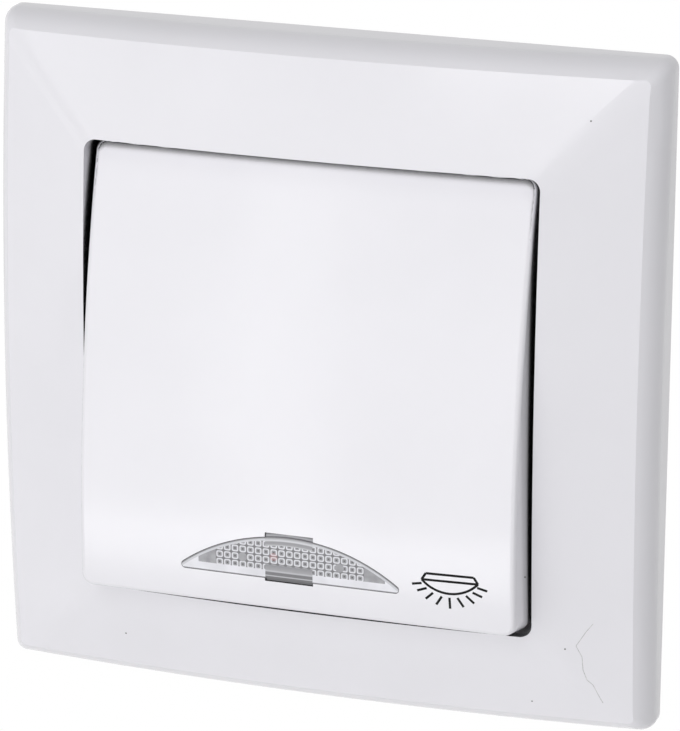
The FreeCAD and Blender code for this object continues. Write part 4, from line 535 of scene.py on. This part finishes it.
def symbol_bowl(steps):
    """The arc that hangs between the symbol's two ends."""
    (left, left_up), (far, far_up) = SYMBOL_ENDS
    half = (far - left) / 2
    radius = (half * half + SYMBOL_DEPTH * SYMBOL_DEPTH) / (2 * SYMBOL_DEPTH)
    sweep = math.asin(half / radius)
    turns = [-sweep + 2 * sweep * step / steps for step in range(steps + 1)]
    return [
        (
            left + half + radius * math.sin(turn),
            left_up + (far_up - left_up) * (turn + sweep) / (2 * sweep)
            - radius * (math.cos(turn) - math.cos(sweep)),
        )
        for turn in turns
    ]


def light_symbol():
    """The usual sign for a lamp: a shallow bowl under a bar, with rays below."""
    lines = {
        "bar": between(*SYMBOL_TOP, LONG_STEPS),
        "rim": between(*SYMBOL_ENDS, LONG_STEPS),
        "left_end": between(SYMBOL_TOP[0], SYMBOL_ENDS[0], SHORT_STEPS),
        "right_end": between(SYMBOL_TOP[1], SYMBOL_ENDS[1], SHORT_STEPS),
        "bowl": symbol_bowl(BOWL_STEPS),
    }
    for number, ray in enumerate(SYMBOL_RAYS, start=1):
        lines["ray_%d" % number] = between(*ray, SHORT_STEPS)
    for name, places in lines.items():
        on_face = [on_button(*place) for place in places]
        ribbon("symbol_" + name, "button", INK, on_face, SYMBOL_LINE)


light_symbol()


# Marks, by the photograph's pixels: a hairline scratch and a few specks of dirt

SCRATCH_PIXELS = (
    (593, 624), (586, 632), (576, 646), (582, 657), (583, 670), (587, 680), (593, 685),
    (600, 698), (603, 703),
)
SCRATCH_WIDTH, SPECK_WIDTH = 0.07 * MM, 0.16 * MM
SPECK_HALF, SPECK_DROP = 0.8, 0.3
SPECK_PIXELS = (
    ("cover_frame", "insert", (591, 121)),
    ("cover_frame", "insert", (565, 649)),
    ("cover_frame", "insert", (532, 701)),
    ("cover_frame", "insert", (126, 633)),
    ("rocker", "button", (525, 577)),
)

scratch = [at_pixel("cover_frame", pixel) for pixel in SCRATCH_PIXELS]
ribbon("frame_scratch", "insert", SCRATCH, scratch, SCRATCH_WIDTH)
for number, (node_name, body, (across, down)) in enumerate(SPECK_PIXELS, start=1):
    ends = ((across - SPECK_HALF, down), (across + SPECK_HALF, down + SPECK_DROP))
    places = [at_pixel(node_name, pixel) for pixel in ends]
    ribbon("speck_%d" % number, body, SPECK, places, SPECK_WIDTH)


# The return springs: copies of the solid ones, each with a mesh of its own, put on the insert in
# place of the hidden solid ones

for side in ("left", "right"):
    node_name = "return_spring_" + side
    coil = show("shortening_coil_" + side, NODES[node_name].data.copy())
    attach(coil, "insert")
    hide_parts(node_name)
    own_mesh(coil)


# Stage and light

def seen_from(turn, height, distance):
    """A place round the object: the turn to the right of its front and the height, in degrees."""
    turn, height = math.radians(turn), math.radians(height)
    return Vector((
        distance * math.sin(turn) * math.cos(height),
        -distance * math.cos(turn) * math.cos(height),
        distance * math.sin(height),
    ))


def soft_light(name, place, wide, tall, watts):
    """A flat lamp that faces the object's middle."""
    data = bpy.data.lights.new(name, "AREA")
    data.energy = watts
    data.size = wide
    if tall != wide:
        data.shape = "RECTANGLE"
        data.size_y = tall
    lamp = show(name, data)
    lamp.location = place
    lamp.rotation_euler = (-place).to_track_quat("-Z", "Y").to_euler()


# Each: name; turn, height and distance; width and height in metres; watts
LAMPS = (
    ("softbox_front", (-19.0, -5.0, 1.2), 0.95, 1.35, 5.15),
    ("strip_front", (-19.2, -2.0, 1.15), 0.07, 0.9, 0.3),
    ("softbox_low", (-19.0, -24.0, 1.05), 0.7, 0.16, 0.95),
    ("softbox_high", (-4.0, 34.0, 1.0), 0.3, 0.3, 1.2),
    ("softbox_right", (54.0, 2.0, 1.0), 0.16, 0.8, 0.8),
    ("softbox_left", (-48.0, -8.0, 1.0), 0.4, 0.4, 0.25),
    ("softbox_above", (-10.0, 62.0, 1.0), 0.35, 0.35, 0.8),
)

for name, where, wide, tall, watts in LAMPS:
    soft_light(name, seen_from(*where), wide, tall, watts)


def seen_directly(tree):
    """1 for what the camera, mirrors and glass see, and 0 for the light that falls on things."""
    path = add(tree, "ShaderNodeLightPath")
    seen = calc(tree, "MAXIMUM", path.outputs["Is Camera Ray"], path.outputs["Is Glossy Ray"])
    return calc(tree, "MAXIMUM", seen, path.outputs["Is Transmission Ray"])


PLAIN_WHITE = (1.0, 1.0, 1.0, 1.0)
SOFT_STRENGTH = 0.4


def background(tree, strength):
    node = add(tree, "ShaderNodeBackground")
    node.inputs["Color"].default_value = PLAIN_WHITE
    node.inputs["Strength"].default_value = strength
    return node


def shown_as(tree, plain, seen, output):
    """The surface is the plain shader for falling light, and the seen one for what looks at it."""
    mix = add(tree, "ShaderNodeMixShader")
    tree.links.new(seen_directly(tree), mix.inputs["Fac"])
    tree.links.new(plain.outputs[0], mix.inputs[1])
    tree.links.new(seen.outputs[0], mix.inputs[2])
    tree.links.new(mix.outputs[0], output.inputs["Surface"])


def world_light():
    """A weak even light from all round, seen as white."""
    world = bpy.data.worlds.new("studio")
    bpy.context.scene.world = world
    world.use_nodes = True
    tree = world.node_tree
    tree.nodes.clear()
    output = add(tree, "ShaderNodeOutputWorld")
    shown_as(tree, background(tree, SOFT_STRENGTH), background(tree, 1.0), output)


FLOOR_REACH, FLOOR_LEVEL = 3.0, -0.45


def floor():
    """A pale floor below the object, seen as white."""
    mesh = bpy.data.meshes.new("floor")
    corners = [
        (side * FLOOR_REACH, depth * FLOOR_REACH, FLOOR_LEVEL)
        for side, depth in ((-1, -1), (1, -1), (1, 1), (-1, 1))
    ]
    mesh.from_pydata(corners, [], [(0, 1, 2, 3)])
    material, tree, shader = new_material("pale_floor")
    shader.inputs["Base Color"].default_value = (0.9, 0.9, 0.9, 1.0)
    shader.inputs["Roughness"].default_value = 0.8
    glow = add(tree, "ShaderNodeEmission")
    glow.inputs["Color"].default_value = PLAIN_WHITE
    glow.inputs["Strength"].default_value = 1.0
    shown_as(tree, shader, glow, tree.nodes["Material Output"])
    mesh.materials.append(material)
    obj = show("floor", mesh)


world_light()
floor()

bpy.context.scene.view_settings.view_transform = "Standard"
